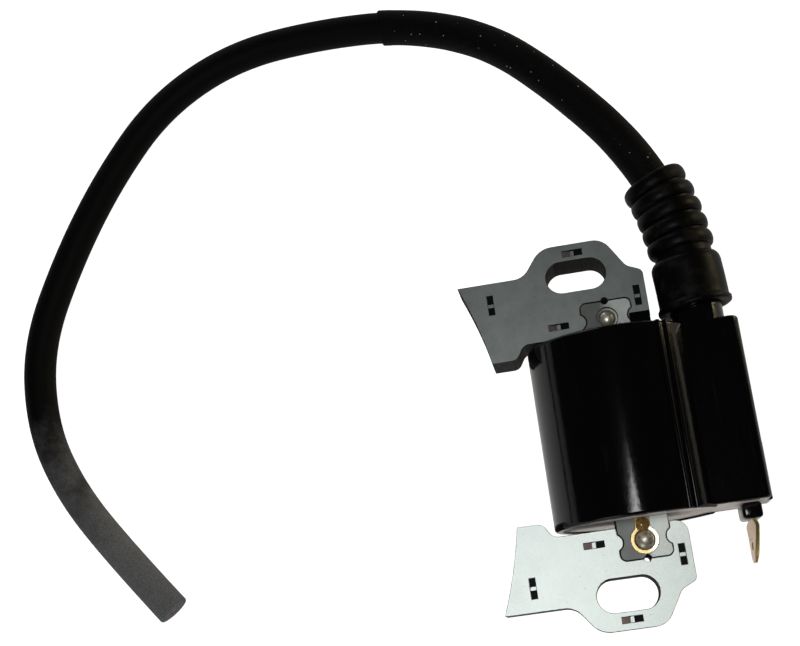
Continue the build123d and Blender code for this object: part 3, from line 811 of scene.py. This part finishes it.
def sheet_mesh(loops, bottom, thickness, edge):
    """One stamped sheet with slightly rounded rims, its underside at a height."""
    work = bmesh.new()
    for loop in loops:
        verts = [work.verts.new((p.x, p.y, bottom)) for p in loop]
        for one, other in zip(verts, verts[1:] + verts[:1]):
            work.edges.new((one, other))
    bmesh.ops.triangle_fill(work, edges=work.edges, use_beauty=True, normal=(0, 0, 1))
    lifted = bmesh.ops.extrude_face_region(work, geom=work.faces[:])["geom"]
    for vert in (item for item in lifted if isinstance(item, bmesh.types.BMVert)):
        vert.co.z += thickness
    bmesh.ops.recalc_face_normals(work, faces=work.faces)
    rims = [
        e
        for e in work.edges
        if abs(e.verts[0].co.z - e.verts[1].co.z) < 1e-9 and e.calc_face_angle(0) > 1
    ]
    bmesh.ops.bevel(work, geom=rims, offset=edge, segments=1, affect="EDGES")
    return mesh_from(work, "sheet")


def shortened(window, length_wanted):
    """A four-cornered window brought to a length about its middle."""
    middle = sum(window, Vector()) / 4
    run = max((b - a for a, b in zip(window, window[1:])), key=lambda side: side.length)
    along = run.normalized()
    surplus = 1 - length_wanted / run.length
    return [p - along * (p - middle).dot(along) * surplus for p in window]


def tongue_mesh(windows, thickness, floor):
    """Tongues pressed down out of a sheet's windows, each bent in a flat-bottomed V."""
    work = bmesh.new()
    top = stack_top
    for window in windows:
        middle = sum(window, Vector()) / len(window)
        sides = [b - a for a, b in zip(window, window[1:] + window[:1])]
        run = max(sides, key=lambda side: side.length)
        width = min(side.length for side in sides) * TONGUE_SHARE
        along = run.normalized()
        across = Z.cross(along) * width / 2
        half = run.length / 2
        profile = [(-half, 0), (-floor / 2, -thickness), (floor / 2, -thickness), (half, 0)]
        rings = []
        for distance, drop in profile:
            spot = middle + along * distance
            high = Vector((spot.x, spot.y, top + drop))
            low = high - Z * thickness
            rings.append([high + across, high - across, low - across, low + across])
        skin(work, rings)
    return mesh_from(work, "tongues")


def build_stack(name, node, slot, finish, edge, seed):
    """A stack of sheets cut to a CAD node's outline, their rims rounded by edge."""
    core = bpy.context.scene.coil_core
    pitch = sheet_pitch(core)
    thickness = pitch - core.sheet_joint
    top_loops = outlines(node, stack_top - 0.01 * MM)
    windows = [shortened(loop, core.tongue_length) for loop in top_loops if len(loop) == 4]
    top_loops = [loop for loop in top_loops if len(loop) != 4] + windows
    loops = top_loops if windows else outlines(node, (stack_low.z + stack_high.z) / 2)
    bottom = stack_low.z + core.sheet_joint
    values = {
        "Sheet": link("sheet", sheet_mesh(loops, bottom, thickness, edge)),
        "Top Sheet": link("top_sheet", sheet_mesh(top_loops, bottom, thickness, edge)),
        "Tongues": link("tongues", tongue_mesh(windows, pitch, core.tongue_floor)),
        "Count": core.sheet_count,
        "Pitch": pitch,
        "Stray": core.sheet_stray,
        "Seed": seed,
        "Material": finish,
    }
    values["Tongues"].data.transform(Matrix.Translation((0, 0, stack_low.z + pitch - stack_top)))
    made = run_tree(bpy.data.meshes.new("stack"), stack_tree(), values)
    for label in ("Sheet", "Top Sheet", "Tongues"):
        bpy.data.objects.remove(values[label])
    smoothed(made, 15)
    return piece_of(name, made, finish, slot, node)


class COIL_OT_core(bpy.types.Operator):
    """Stack the steel sheets of both legs and the core bar"""

    bl_idname = "coil.core"
    bl_label = "Laminated Core"

    def execute(self, context):
        core = context.scene.coil_core
        # The upper leg's colours hold painted shade, the lower leg's painted light.
        steel, wall, edge = core.upper_steel_shaded, core.upper_wall_shaded, core.sheet_edge
        finish = material("upper leg steel", sheet_steel, steel, wall, 0.25, 0.0)
        build_stack("upper_leg_sheets", "upper_leg", "lamination_steel", finish, edge, 3)
        steel, wall = core.lower_steel_lit, core.lower_wall
        finish = material("lower leg steel", sheet_steel, steel, wall, 0.12, 0.0)
        build_stack("lower_leg_sheets", "lower_leg", "lamination_steel", finish, edge, 8)
        finish = material("core bar steel", sheet_steel, core.bar_steel, core.upper_wall_shaded, 0.4, 1.0)
        build_stack("core_bar_sheets", "core_bar", "bar_steel", finish, core.bar_edge, 5)
        return {"FINISHED"}


def rivet_profile(foot, seat):
    """Radius and height down a rivet from its lower head to its dimpled upper head."""
    head, shank, rise = RIVET_HEAD, RIVET_SHANK, rivets_high.z - strap_high.z
    sphere = (head**2 + rise**2) / (2 * rise)
    dome = []
    for i in range(9):
        radius = head * (1 - i / 9)
        dome.append((radius, seat + rise - sphere + math.sqrt(sphere**2 - radius**2)))
    crown = [(0.30 * MM, seat + rise * 0.955), (0, seat + rise * 0.93)]
    lower = [(0, foot - rise), (head * 0.6, foot - rise * 0.8), (head, foot - rise * 0.1)]
    return [*lower, (head, foot), (shank, foot), (shank, seat), *dome, *crown]


class COIL_OT_rivets(bpy.types.Operator):
    """Form the two rivets, the earth strap and its bead of varnish"""

    bl_idname = "coil.rivets"
    bl_label = "Rivets and Earth Strap"

    def execute(self, context):
        core = context.scene.coil_core
        reach = rivets_high.y - RIVET_HEAD
        work = bmesh.new()
        pitch = sheet_pitch(core)
        for side, seat in ((1, stack_top - pitch), (-1, strap_high.z)):
            centre = Vector((axis_x, side * reach, 0))
            lathe(work, rivet_profile(stack_low.z, seat), centre)
        for vert in work.verts:
            if vert.co.z > stack_top - pitch:
                dent = noise.noise(vert.co / (0.9 * MM)) * 0.05 * MM
                vert.co.z = min(vert.co.z + dent, rivets_high.z)
        rivets = smoothed(mesh_from(work, "rivets"))
        finish = material("rivet steel", worn_metal, core.rivet_steel, (0.34, 0.30, 0.22), 0.30)
        piece_of("core_rivet_heads", rivets, finish, "rivet_steel", "core_rivets")
        self.strap(core, Vector((axis_x, -reach, 0)))
        self.bead(core)
        return {"FINISHED"}

    def strap(self, core, centre):
        """Eyelet ring with a curled lip and a flat tail that runs into the resin."""
        thick = strap_high.z - strap_low.z
        outer, inner, lip = (strap_high.x - strap_low.x) / 2, 1.85 * MM, 0.22 * MM
        low, high = strap_low.z, strap_high.z
        profile = [
            (inner - 0.45 * MM, low),
            (outer - 0.12 * MM, low),
            (outer, low + thick * 0.3),
            (outer, low + thick * 0.7),
            (outer - 0.12 * MM, high),
            (inner + lip, high),
            (inner + lip * 0.7, high + lip * 0.7),
            (inner, high + lip),
            (inner - lip * 0.7, high + lip * 0.7),
            (inner - 0.45 * MM, high),
        ]
        rings = [
            circle(Vector((centre.x, centre.y, z)), X, Y, r, 56)
            for r, z in profile
        ]
        ring = solid_through("ring", rings, closed=True)
        half = 1.5 * MM
        tail_low = Vector((centre.x - half, centre.y + inner, low))
        tail_high = Vector((centre.x + half, strap_high.y, high))
        tail = rounded_box("tail", tail_low, tail_high, 0.1 * MM, 2)
        strap = smoothed(combined(ring, [tail], "UNION"))
        finish = material("strap metal", strap_finish, tuple(core.strap_metal))
        piece_of("earth_strap", strap, finish, "strap_metal", "ground_strap")

    def bead(self, core):
        """Uneven drop of varnish between the ring and the case."""
        work = bmesh.new()
        bmesh.ops.create_icosphere(work, subdivisions=5, radius=1.0)
        middle = (bead_low + bead_high) / 2
        half = (bead_high - bead_low) / 2
        for vert in work.verts:
            swell = 1 + 0.10 * noise.noise(vert.co * 1.7 + Vector((4, 1, 7)))
            point = vert.co * swell
            flat = max(point.z, -0.15)
            spread = 1.12 if point.z < 0.1 else 1.0
            vert.co = Vector(
                (
                    middle.x + point.x * half.x * spread,
                    middle.y + point.y * half.y * spread,
                    bead_low.z + (flat + 0.15) / 1.26 * half.z * 2,
                )
            )
        drop = smoothed(mesh_from(work, "drop"), 80)
        finish = material("amber varnish", amber, tuple(core.varnish))
        piece_of("varnish_bead", drop, finish, "amber_resin", "ground_resin_bead")


# ---- Case ----


def rounded_ends(low, high, radius, steps=5):
    """Distances along a length and their insets, for an outline rounded at both ends."""
    turns = [math.pi / 2 * i / steps for i in range(steps + 1)]
    start = [(low + radius * (1 - math.sin(t)), radius * (1 - math.cos(t))) for t in turns]
    start.reverse()
    return start + [(low + high - y, inset) for y, inset in reversed(start)]


def barrel_ring(y, radius, inset, sides=180):
    """Round outline of the barrel with its flat foot, at a place along the winding."""
    foot = case_low.z + inset
    ring = circle(Vector((axis_x, y, axis_z)), X, Z, radius - inset, sides)
    return [Vector((p.x, p.y, max(p.z, foot))) for p in ring]


def module_ring(case, y, inset, right):
    """Outline of the module box with its two rounded outer corners."""
    top = axis_z + case.module_top - inset
    bottom = axis_z - case.module_bottom + inset
    right -= inset
    radius = max(case.module_corner - inset, 0.3 * MM)
    points = [(axis_x, top)]
    for centre_z, start in ((top - radius, 90), (bottom + radius, 0)):
        for i in range(9):
            turn = math.radians(start - 90 * i / 8)
            x = right - radius + radius * math.cos(turn)
            points.append((x, centre_z + radius * math.sin(turn)))
    points.append((axis_x, bottom))
    return [Vector((x, y, z)) for x, z in points]


def bar_along_y(x, z, radius, low, high, sides=48):
    """Round bar along the winding."""
    rings = [
        circle(Vector((x, y, z)), X, Z, radius - inset, sides)
        for y, inset in rounded_ends(low, high, min(0.35 * MM, radius * 0.4), 3)
    ]
    return solid_through("bar", rings)


SEAM_RIBS = (31.5, 37.5)  # degrees round the barrel from its top


class COIL_OT_case(bpy.types.Operator):
    """Mould the case: barrel, module box, seam ribs, side pad and tower"""

    bl_idname = "coil.case"
    bl_label = "Case"

    def execute(self, context):
        case = context.scene.coil_case
        radius = axis_x - case_low.x
        half = -case_low.y
        module_end = half - case.module_inset
        right = case_high.x - case.pad_thickness
        wall = case.wall
        ends = rounded_ends(-half, half, case.end_round)
        barrel = solid_through("barrel", [barrel_ring(y, radius, inset) for y, inset in ends])
        ends = rounded_ends(-module_end, module_end, case.end_round)
        rings = [module_ring(case, y, inset, right) for y, inset in ends]
        module = solid_through("module", rings)
        others = [module, self.pad(case, module_end, right), self.lap(half)]
        for angle in SEAM_RIBS:
            turn = math.radians(angle)
            x = axis_x + radius * math.sin(turn)
            z = axis_z + radius * math.cos(turn)
            others.append(bar_along_y(x, z, case.rib_radius, -half, half, 20))
        others.append(
            bar_along_y(tower_x, tower_z, case.tower_radius, module_end - wall / 2, case_high.y)
        )
        cavity_ends = [-half - wall, half - wall]
        module_ends = [-half - wall, module_end - wall]
        rings = [module_ring(case, y, wall, right) for y in module_ends]
        bores = [
            solid_through("cavity", [barrel_ring(y, radius, wall) for y in cavity_ends]),
            solid_through("module_cavity", rings),
            self.window(half),
            self.socket(case, module_end),
        ]
        solid = combined(barrel, others, "UNION")
        hollow = smoothed(combined(solid, bores, "DIFFERENCE"), 32)
        finish = material("case plastic", glossy_case, tuple(case.plastic))
        made = piece_of("case_moulding", hollow, finish, "case_plastic", "coil_case")
        weigh = made.modifiers.new("even normals", "WEIGHTED_NORMAL")
        weigh.keep_sharp = True
        return {"FINISHED"}

    def pad(self, case, module_end, right):
        """Low pad on the module's outer wall."""
        low = Vector((right - case.pad_thickness, -module_end, axis_z - case.pad_height / 2))
        high = Vector((case_high.x, case.pad_length - module_end, axis_z + case.pad_height / 2))
        return rounded_box("pad", low, high, 0.25 * MM)

    def lap(self, half):
        """Low rounded block of case plastic that lies on the upper leg beside the core bar."""
        low = Vector((bar_high.x - 0.7 * MM, half - 0.5 * MM, stack_top + 0.03 * MM))
        high = Vector((stack_high.x - 0.1 * MM, half + 4.2 * MM, stack_top + 0.55 * MM))
        return rounded_box("lap", low, high, 0.2 * MM, 2)

    def window(self, half):
        """Square hole for the core bar through the closed end."""
        grow = Vector((0.1 * MM, 0, 0.1 * MM))
        low = Vector((bar_low.x, half - 4 * MM, bar_low.z)) - grow
        high = Vector((bar_high.x, half + 4 * MM, bar_high.z)) + grow
        return rounded_box("window", low, high, 0.2 * MM, 1)

    def socket(self, case, module_end):
        """Blind socket of the tower, with the pin's hole in its floor."""
        floor = module_end + case.tower_floor
        chamfer = 0.3 * MM
        pin = (pin_high.x - pin_low.x) / 2
        stations = [
            (module_end - 3 * MM, pin),
            (floor, pin),
            (floor, case.tower_bore),
            (case_high.y - chamfer, case.tower_bore),
            (case_high.y + chamfer, case.tower_bore + 2 * chamfer),
        ]
        rings = [
            circle(Vector((tower_x, y, tower_z)), X, Z, r, 48) for y, r in stations
        ]
        return solid_through("socket", rings)


BLADE_POINT = 1.2 * MM  # length of the blade's tapered tip
BLADE_EDGE = 0.14 * MM
BLADE_HOLE_RADIUS = 0.85 * MM
BLADE_HOLE_SETBACK = 3.2 * MM
BLADE_BEND = 0.8 * MM
BLADE_LEAN = 14  # degrees where it leaves the boss
BLADE_UNTWIST = 16  # degrees that the lean falls by towards the tip
BLADE_ROOT = 0.12  # share of the free length over which the lean grows


class COIL_OT_terminal(bpy.types.Operator):
    """Shape the kill terminal's blade and the boss at its root"""

    bl_idname = "coil.terminal"
    bl_label = "Kill Terminal"

    def execute(self, context):
        case = context.scene.coil_case
        finish = material("terminal brass", brass, tuple(case.brass))
        piece_of("kill_blade", self.blade(), finish, "terminal_brass", "kill_terminal")
        boss = smoothed(rounded_box("boss", boss_low, boss_high, 0.7 * MM, 4), 60)
        finish = material("boss plastic", glossy_case, scaled(case.plastic, 1.5))
        piece_of("blade_boss", boss, finish, "boss_plastic", "terminal_boss")
        return {"FINISHED"}

    def blade(self):
        """Blade with a pointed end, bent a little and leaning most where it leaves the boss."""
        middle = (blade_low + blade_high) / 2
        half = (blade_high - blade_low) / 2
        rows = 28
        rings = []
        for i in range(rows + 1):
            share = i / rows
            y = blade_high.y + (blade_low.y - blade_high.y) * share
            tip = max(0.0, (blade_low.y + BLADE_POINT - y) / BLADE_POINT)
            free = max(0.0, (boss_low.y - y) / (boss_low.y - blade_low.y))
            lean = math.radians(BLADE_LEAN * min(1.0, free / BLADE_ROOT) - BLADE_UNTWIST * free)
            turn = Matrix.Rotation(lean, 3, "Y")
            bend = Vector((-BLADE_BEND * free**1.5, 0, 0))
            height = half.z - tip * BLADE_POINT
            thick = half.x * (1 - 0.25 * tip)
            edge = BLADE_EDGE
            outline = [
                (-thick + edge, height),
                (thick - edge, height),
                (thick, height - edge),
                (thick, edge - height),
                (thick - edge, -height),
                (edge - thick, -height),
                (-thick, edge - height),
                (-thick, height - edge),
            ]
            ring = [turn @ Vector((x, 0, z)) for x, z in outline]
            rings.append([Vector((middle.x, y, middle.z)) + bend + point for point in ring])
        blade = solid_through("blade", rings)
        hole_y = blade_low.y + BLADE_HOLE_SETBACK
        ends = [middle.x - 3 * MM, middle.x + 3 * MM]
        centres = [Vector((x, hole_y, middle.z)) for x in ends]
        hole = solid_through("hole", [circle(c, Y, Z, BLADE_HOLE_RADIUS, 32) for c in centres])
        return smoothed(combined(blade, [hole], "DIFFERENCE"), 30)


class COIL_OT_resin(bpy.types.Operator):
    """Give the cast potting resin its cloudy finish"""

    bl_idname = "coil.resin"
    bl_label = "Potting Resin"

    def execute(self, context):
        case = context.scene.coil_case
        finish = material("cast resin", cast_resin, tuple(case.resin))
        dress("potting_resin", finish)
        return {"FINISHED"}


# ---- Lead ----


class Route:
    """The lead's smooth line with distances along it."""

    def __init__(self, points):
        self.points = points
        self.marks = [0.0]
        for one, other in zip(points, points[1:]):
            self.marks.append(self.marks[-1] + (other - one).length)

    def at(self, distance):
        """Point and direction at a distance, straight on past either end."""
        index = 0
        while index < len(self.marks) - 2 and self.marks[index + 1] < distance:
            index += 1
        start, end = self.points[index], self.points[index + 1]
        along = (end - start).normalized()
        return start + along * (distance - self.marks[index]), along

    def ring(self, distance, radius, sides, lean=0.0):
        """Circle square across the line, or leaning by a distance from side to side."""
        middle, along = self.smooth_at(distance)
        side = along.cross(Z).normalized()
        up = side.cross(along)
        ring = circle(middle, side, up, radius, sides)
        return [p + along * (lean * (p - middle).dot(side) / radius) for p in ring]

    def smooth_at(self, distance):
        """Point and direction, the direction taken over a short span."""
        middle, _ = self.at(distance)
        span = 0.4 * MM
        along = (self.at(distance + span)[0] - self.at(distance - span)[0]).normalized()
        return middle, along


def lead_route():
    """The lead's line, read from the NURBS spline through its route."""
    curve = bpy.data.curves.new("route", "CURVE")
    curve.dimensions = "3D"
    curve.resolution_u = 48
    spline = curve.splines.new("NURBS")
    route = [(tower_x - slot_x, LEAD_START_Y, tower_z), (tower_x - slot_x, FIRST_BEND_Y, tower_z)]
    route += ROUTE_REST
    spline.points.add(len(route) - 1)
    for point, (x, y, z) in zip(spline.points, route):
        point.co = (slot_x + x, y, z, 1)
    spline.order_u = 3
    spline.use_endpoint_u = True
    holder = link("route", curve)
    line = evaluated(holder)
    points = [v.co.copy() for v in line.vertices]
    bpy.data.objects.remove(holder)
    return Route(points)


def tube(route, stations, sides):
    """Closed tube wall through stations of distance, radius and lean, with its place along it."""
    rings = [route.ring(distance, radius, sides, lean) for distance, radius, lean in stations]
    made = solid_through("tube", rings, closed=True)
    mark = made.attributes.new("along", "FLOAT", "POINT")
    whole = route.marks[-1]
    shares = [station[0] / whole for station in stations for _ in range(sides)]
    mark.data.foreach_set("value", shares)
    return made


def even(low, high, step):
    """Distances from low to high, about a step apart."""
    count = max(1, round((high - low) / step))
    return [low + (high - low) * i / count for i in range(count + 1)]


class COIL_OT_lead(bpy.types.Operator):
    """Lay the high tension lead with its core, sleeve and ribbed boot"""

    bl_idname = "coil.lead"
    bl_label = "High Tension Lead"

    def execute(self, context):
        settings = context.scene.coil_lead
        route = lead_route()
        boot = self.boot(settings, route)
        sleeve = self.sleeve(settings, route)
        core = self.core(settings, route)
        lead = self.lead(settings, route)
        return {"FINISHED"}

    def lead(self, settings, route):
        """Insulation: a long tube, cut square with a slightly rounded rim."""
        end = route.marks[-1]
        radius, bore, edge = settings.lead_radius, settings.core_radius, settings.end_round
        stations = [(s, radius, 0) for s in even(0, end - edge, 1.2 * MM)]
        for i in range(1, 5):
            turn = math.pi / 2 * i / 4
            place = end - edge + edge * math.sin(turn)
            stations.append((place, radius - edge + edge * math.cos(turn), 0))
        stations += [(end, bore, 0), (end - 8 * MM, bore, 0)]
        stations += [(s, bore, 0) for s in reversed(even(0, end - 12 * MM, 4 * MM))]
        made = smoothed(tube(route, stations, 48), 40)
        black, worn = tuple(settings.lead_black), tuple(settings.lead_worn)
        finish = material("lead rubber", worn_lead, black, worn)
        return piece_of("high_tension_cable", made, finish, "lead_rubber", "high_tension_lead")

    def core(self, settings, route):
        """Seven copper strands in the end of the insulation."""
        end = route.marks[-1]
        strand = settings.core_radius / 3
        work = bmesh.new()
        for i in range(7):
            out = 0 if i == 6 else 2 * strand * 0.98
            rings = []
            for s in even(end - 10 * MM, end - 0.15 * MM, 0.8 * MM):
                middle, along = route.smooth_at(s)
                side = along.cross(Z).normalized()
                up = side.cross(along)
                turn = math.tau * i / 6 + (end - s) / (9 * MM)
                centre = middle + (side * math.cos(turn) + up * math.sin(turn)) * out
                rings.append(circle(centre, side, up, strand * 0.98, 12))
            skin(work, rings)
        made = smoothed(mesh_from(work, "strands"), 50)
        finish = material("lead copper", copper, (0.55, 0.28, 0.14))
        return piece_of("copper_strands", made, finish, "lead_copper", "lead_conductor")

    def sleeve(self, settings, route):
        """Sleeve over the first part of the lead, its far end cut a little aslant."""
        start, end = settings.sleeve_start, settings.sleeve_end
        outer, inner = settings.sleeve_radius, settings.lead_radius + 0.08 * MM
        edge = 0.18 * MM
        stations = [(start, outer - edge, 0), (start + edge, outer, 0)]
        for s in even(start + 2 * edge, end - 3 * MM, 1.2 * MM):
            swell = noise.noise(Vector((s / (5 * MM), 2.0, 0.5))) * 0.04 * MM
            stations.append((s, outer - 0.04 * MM + swell, 0))
        slant = 0.55 * MM
        stations += [(end - 2 * MM, outer, slant / 2), (end - edge, outer, slant)]
        stations += [(end, outer - edge, slant), (end, inner, slant), (end - 3 * MM, inner, 0)]
        stations += [(s, inner, 0) for s in reversed(even(start, end - 5 * MM, 4 * MM))]
        made = smoothed(tube(route, stations, 48), 40)
        finish = material("sleeve rubber", speckled_sleeve, tuple(settings.rubber))
        return piece_of("lead_sleeve_tube", made, finish, "sleeve_rubber", "lead_sleeve")

    def boot(self, settings, route):
        """Boot with a cup over the tower and a ribbed neck, its ribs set along the route."""
        start = settings.boot_start
        end = start + settings.boot_length
        cup, neck = settings.cup_radius, settings.neck_radius
        lip = cup + settings.cup_lip
        shoulder = start + settings.cup_length
        tower_end = case_high.y - LEAD_START_Y + 0.5 * MM
        lean = settings.mouth_lean
        outer = [(start, lip - 0.35 * MM, lean), (start + 0.15 * MM, lip - 0.1 * MM, lean)]
        outer += [(start + 0.4 * MM, lip, lean), (start + 1.0 * MM, lip, lean * 0.9)]
        outer += [(start + 1.3 * MM, cup + 0.12 * MM, lean * 0.8)]
        outer += [(start + 1.7 * MM, cup, lean * 0.6)]
        outer += [(s, cup, 0) for s in even(start + 3 * MM, shoulder - 2.2 * MM, 1 * MM)]
        for i in range(7):
            turn = math.pi / 2 * i / 6
            drop = (cup - neck) * (1 - math.cos(turn))
            outer.append((shoulder - 1.9 * MM + 1.9 * MM * math.sin(turn), cup - drop, 0))
        outer += [(s, neck, 0) for s in even(shoulder + 0.4 * MM, end - 0.3 * MM, 0.5 * MM)]
        outer += [(end, neck - 0.25 * MM, 0)]
        sleeve_bore = settings.sleeve_radius + 0.05 * MM
        lead_bore = settings.lead_radius + 0.1 * MM
        inner = [(s, sleeve_bore, 0) for s in reversed(even(settings.sleeve_start, end, 1 * MM))]
        inner += [
            (s, lead_bore, 0)
            for s in reversed(even(tower_end, settings.sleeve_start - 0.1 * MM, 1 * MM))
        ]
        inner += [(tower_end, 5.3 * MM, 0)]
        inner += [(start + 0.2 * MM, 5.3 * MM, lean), (start, 5.5 * MM, lean)]
        body = tube(route, outer + inner, 64)
        finish = material("boot rubber", moulded_rubber, tuple(settings.rubber))
        made = self.ribbed(settings, route, body, end, finish)
        return piece_of("ribbed_boot", smoothed(made, 50), finish, "boot_rubber", "lead_boot")

    def ribbed(self, settings, route, body, end, finish):
        """The boot's body joined with its ribs."""
        half = settings.rib_pitch * 0.45
        foot, rise = settings.neck_radius - 0.3 * MM, settings.rib_radius - settings.neck_radius
        profile = [(foot, -half), (settings.neck_radius, -half)]
        for i in range(1, 10):
            turn = math.pi * i / 10
            profile.append(
                (settings.neck_radius + rise * math.sin(turn) ** 0.7, -half * math.cos(turn))
            )
        profile += [(settings.neck_radius, half), (foot, half)]
        rings = [circle(Z * height, X, Y, radius, 64) for radius, height in profile]
        rib = link("rib", solid_through("rib", rings, closed=True))
        first = end - half - (settings.rib_count - 1) * settings.rib_pitch
        curve = bpy.data.curves.new("rib_path", "CURVE")
        curve.dimensions = "3D"
        spline = curve.splines.new("POLY")
        places = even(first, end - half, 0.5 * MM)
        spline.points.add(len(places) - 1)
        for point, s in zip(spline.points, places):
            point.co = (*route.at(s)[0], 1)
        path = link("rib_path", curve)
        values = {"Path": path, "Rib": rib, "Count": settings.rib_count, "Material": finish}
        made = run_tree(body, rib_tree(), values)
        bpy.data.objects.remove(path)
        bpy.data.objects.remove(rib)
        return made


# ---- Sealed pieces and the stage ----


def dress(node, finish):
    """Gives a CAD node's mesh a finish."""
    mesh = frame["nodes"][node].data
    mesh.materials.clear()
    mesh.materials.append(finish)


class COIL_OT_sealed(bpy.types.Operator):
    """Give the pieces sealed in the resin their finishes"""

    bl_idname = "coil.sealed"
    bl_label = "Sealed Pieces"

    def execute(self, context):
        bobbin = material("bobbin plastic", plain_moulding, (0.10, 0.10, 0.11))
        winding = material("enamelled copper", copper, (0.52, 0.17, 0.06))
        board = material("board laminate", plain_moulding, (0.04, 0.20, 0.09))
        epoxy = material("component epoxy", plain_moulding, (0.02, 0.02, 0.02))
        tinned = material("tinned wire", worn_metal, (0.70, 0.70, 0.68), (0.4, 0.38, 0.35), 0.2)
        pin = material("pin brass", worn_metal, (0.72, 0.55, 0.30), (0.3, 0.2, 0.1), 0.2)
        finishes = {
            "primary_bobbin": bobbin,
            "secondary_bobbin": bobbin,
            "primary_winding": winding,
            "secondary_winding": winding,
            "control_board": board,
            "switching_transistor": epoxy,
            "control_chip": epoxy,
            "chip_resistors": epoxy,
            "timing_capacitor": epoxy,
            "flyback_diode": epoxy,
            "terminal_jumper": tinned,
            "ground_jumper": tinned,
            "high_voltage_wire": tinned,
            "high_voltage_pin": pin,
        }
        for node, finish in finishes.items():
            dress(node, finish)
        return {"FINISHED"}


CAMERA_LENS = 62.84
CAMERA_RIGHT = Vector((0.982, -0.1293, -0.1376))
CAMERA_UP = Vector((0.1577, 0.9625, 0.2207))
CAMERA_PLACE = Vector((slot_x - 7.04 * MM, -40.24 * MM, stack_top + 276.52 * MM))


class COIL_OT_stage(bpy.types.Operator):
    """Set the floor, the lights and the camera"""

    bl_idname = "coil.stage"
    bl_label = "Stage"

    def execute(self, context):
        stage = context.scene.coil_stage
        context.scene.view_settings.view_transform = "Standard"
        self.camera(context)
        work = bmesh.new()
        bmesh.ops.create_grid(work, x_segments=2, y_segments=2, size=6)
        floor = link("floor", mesh_from(work, "floor"))
        finish = material("floor", lit_floor, tuple(stage.floor_colour), stage.floor_glow)
        floor.data.materials.append(finish)
        white, warm, cool = (1, 1, 1), (1.0, 0.82, 0.50), (0.90, 0.95, 1.0)
        aim = (0, -0.01, 0.02)
        self.light("flash", (-0.028, -0.024, 0.30), aim, 0.07, stage.flash_power, white)
        self.light("front_fill", (-0.5, -0.8, 0.35), (0, 0, 0), 0.5, stage.fill_power, cool)
        self.light("back_fill", (-0.4, 0.9, 0.30), (0, 0, 0), 0.5, stage.fill_power, cool)
        self.light("edge_light", (0.8, 0.35, 0.14), (0, 0, 0), 0.3, stage.edge_power, warm)
        self.surroundings(context)
        return {"FINISHED"}

    def camera(self, context):
        """Camera above the coil, turned a few degrees."""
        data = bpy.data.cameras.new("camera")
        data.lens = CAMERA_LENS
        data.sensor_width = 36.0
        data.clip_start = 0.01
        camera = link("camera", data)
        back = CAMERA_RIGHT.cross(CAMERA_UP).normalized()
        up = back.cross(CAMERA_RIGHT).normalized()
        turn = Matrix((CAMERA_RIGHT.normalized(), up, back)).transposed()
        camera.matrix_world = Matrix.Translation(CAMERA_PLACE) @ turn.to_4x4()
        context.scene.camera = camera

    def light(self, name, place, target, size, power, tint):
        """Square soft light that looks at a target."""
        data = bpy.data.lights.new(name, "AREA")
        data.color = tint
        data.size = size
        data.energy = power
        lamp = link(name, data)
        direction = Vector(target) - Vector(place)
        lamp.location = place
        lamp.rotation_euler = direction.to_track_quat("-Z", "Y").to_euler()

    def surroundings(self, context):
        """Dim surroundings that look white straight to the eye."""
        world = bpy.data.worlds.new("surroundings")
        world.use_nodes = True
        world.node_tree.nodes.clear()
        nodes = Nodes(world.node_tree)
        seen = nodes.add("ShaderNodeLightPath", output="Is Camera Ray")
        strength = seen * 0.92 + 0.03
        glow = nodes.add("ShaderNodeBackground", {}, {"Color": (1, 1, 1, 1), "Strength": strength})
        nodes.add("ShaderNodeOutputWorld", {}, {"Surface": glow})
        context.scene.world = world


class COIL_PT_panel(bpy.types.Panel):
    """Buttons and settings for the coil's pieces"""

    bl_label = "Ignition Coil"
    bl_idname = "COIL_PT_panel"
    bl_space_type = "VIEW_3D"
    bl_region_type = "UI"
    bl_category = "Ignition Coil"

    def draw(self, context):
        scene = context.scene
        groups = (scene.coil_core, scene.coil_case, scene.coil_lead, scene.coil_stage)
        for group in groups:
            box = self.layout.box()
            for name in group.__annotations__:
                box.prop(group, name)
        for operator in OPERATORS:
            self.layout.operator(operator.bl_idname)


GROUPS = {
    "coil_core": CoreSettings,
    "coil_case": CaseSettings,
    "coil_lead": LeadSettings,
    "coil_stage": StageSettings,
}
OPERATORS = (
    COIL_OT_stage,
    COIL_OT_lead,
    COIL_OT_core,
    COIL_OT_rivets,
    COIL_OT_case,
    COIL_OT_terminal,
    COIL_OT_resin,
    COIL_OT_sealed,
)


def register():
    for name, group in GROUPS.items():
        bpy.utils.register_class(group)
        setattr(bpy.types.Scene, name, PointerProperty(type=group))
    for operator in OPERATORS:
        bpy.utils.register_class(operator)
    bpy.utils.register_class(COIL_PT_panel)


def unregister():
    bpy.utils.unregister_class(COIL_PT_panel)
    for operator in reversed(OPERATORS):
        bpy.utils.unregister_class(operator)
    for name, group in GROUPS.items():
        delattr(bpy.types.Scene, name)
        bpy.utils.unregister_class(group)


def main():
    """Builds every piece in order."""
    register()
    for operator in OPERATORS:
        family, name = operator.bl_idname.split(".")
        getattr(getattr(bpy.ops, family), name)()


if __name__ == "__main__":
    main()
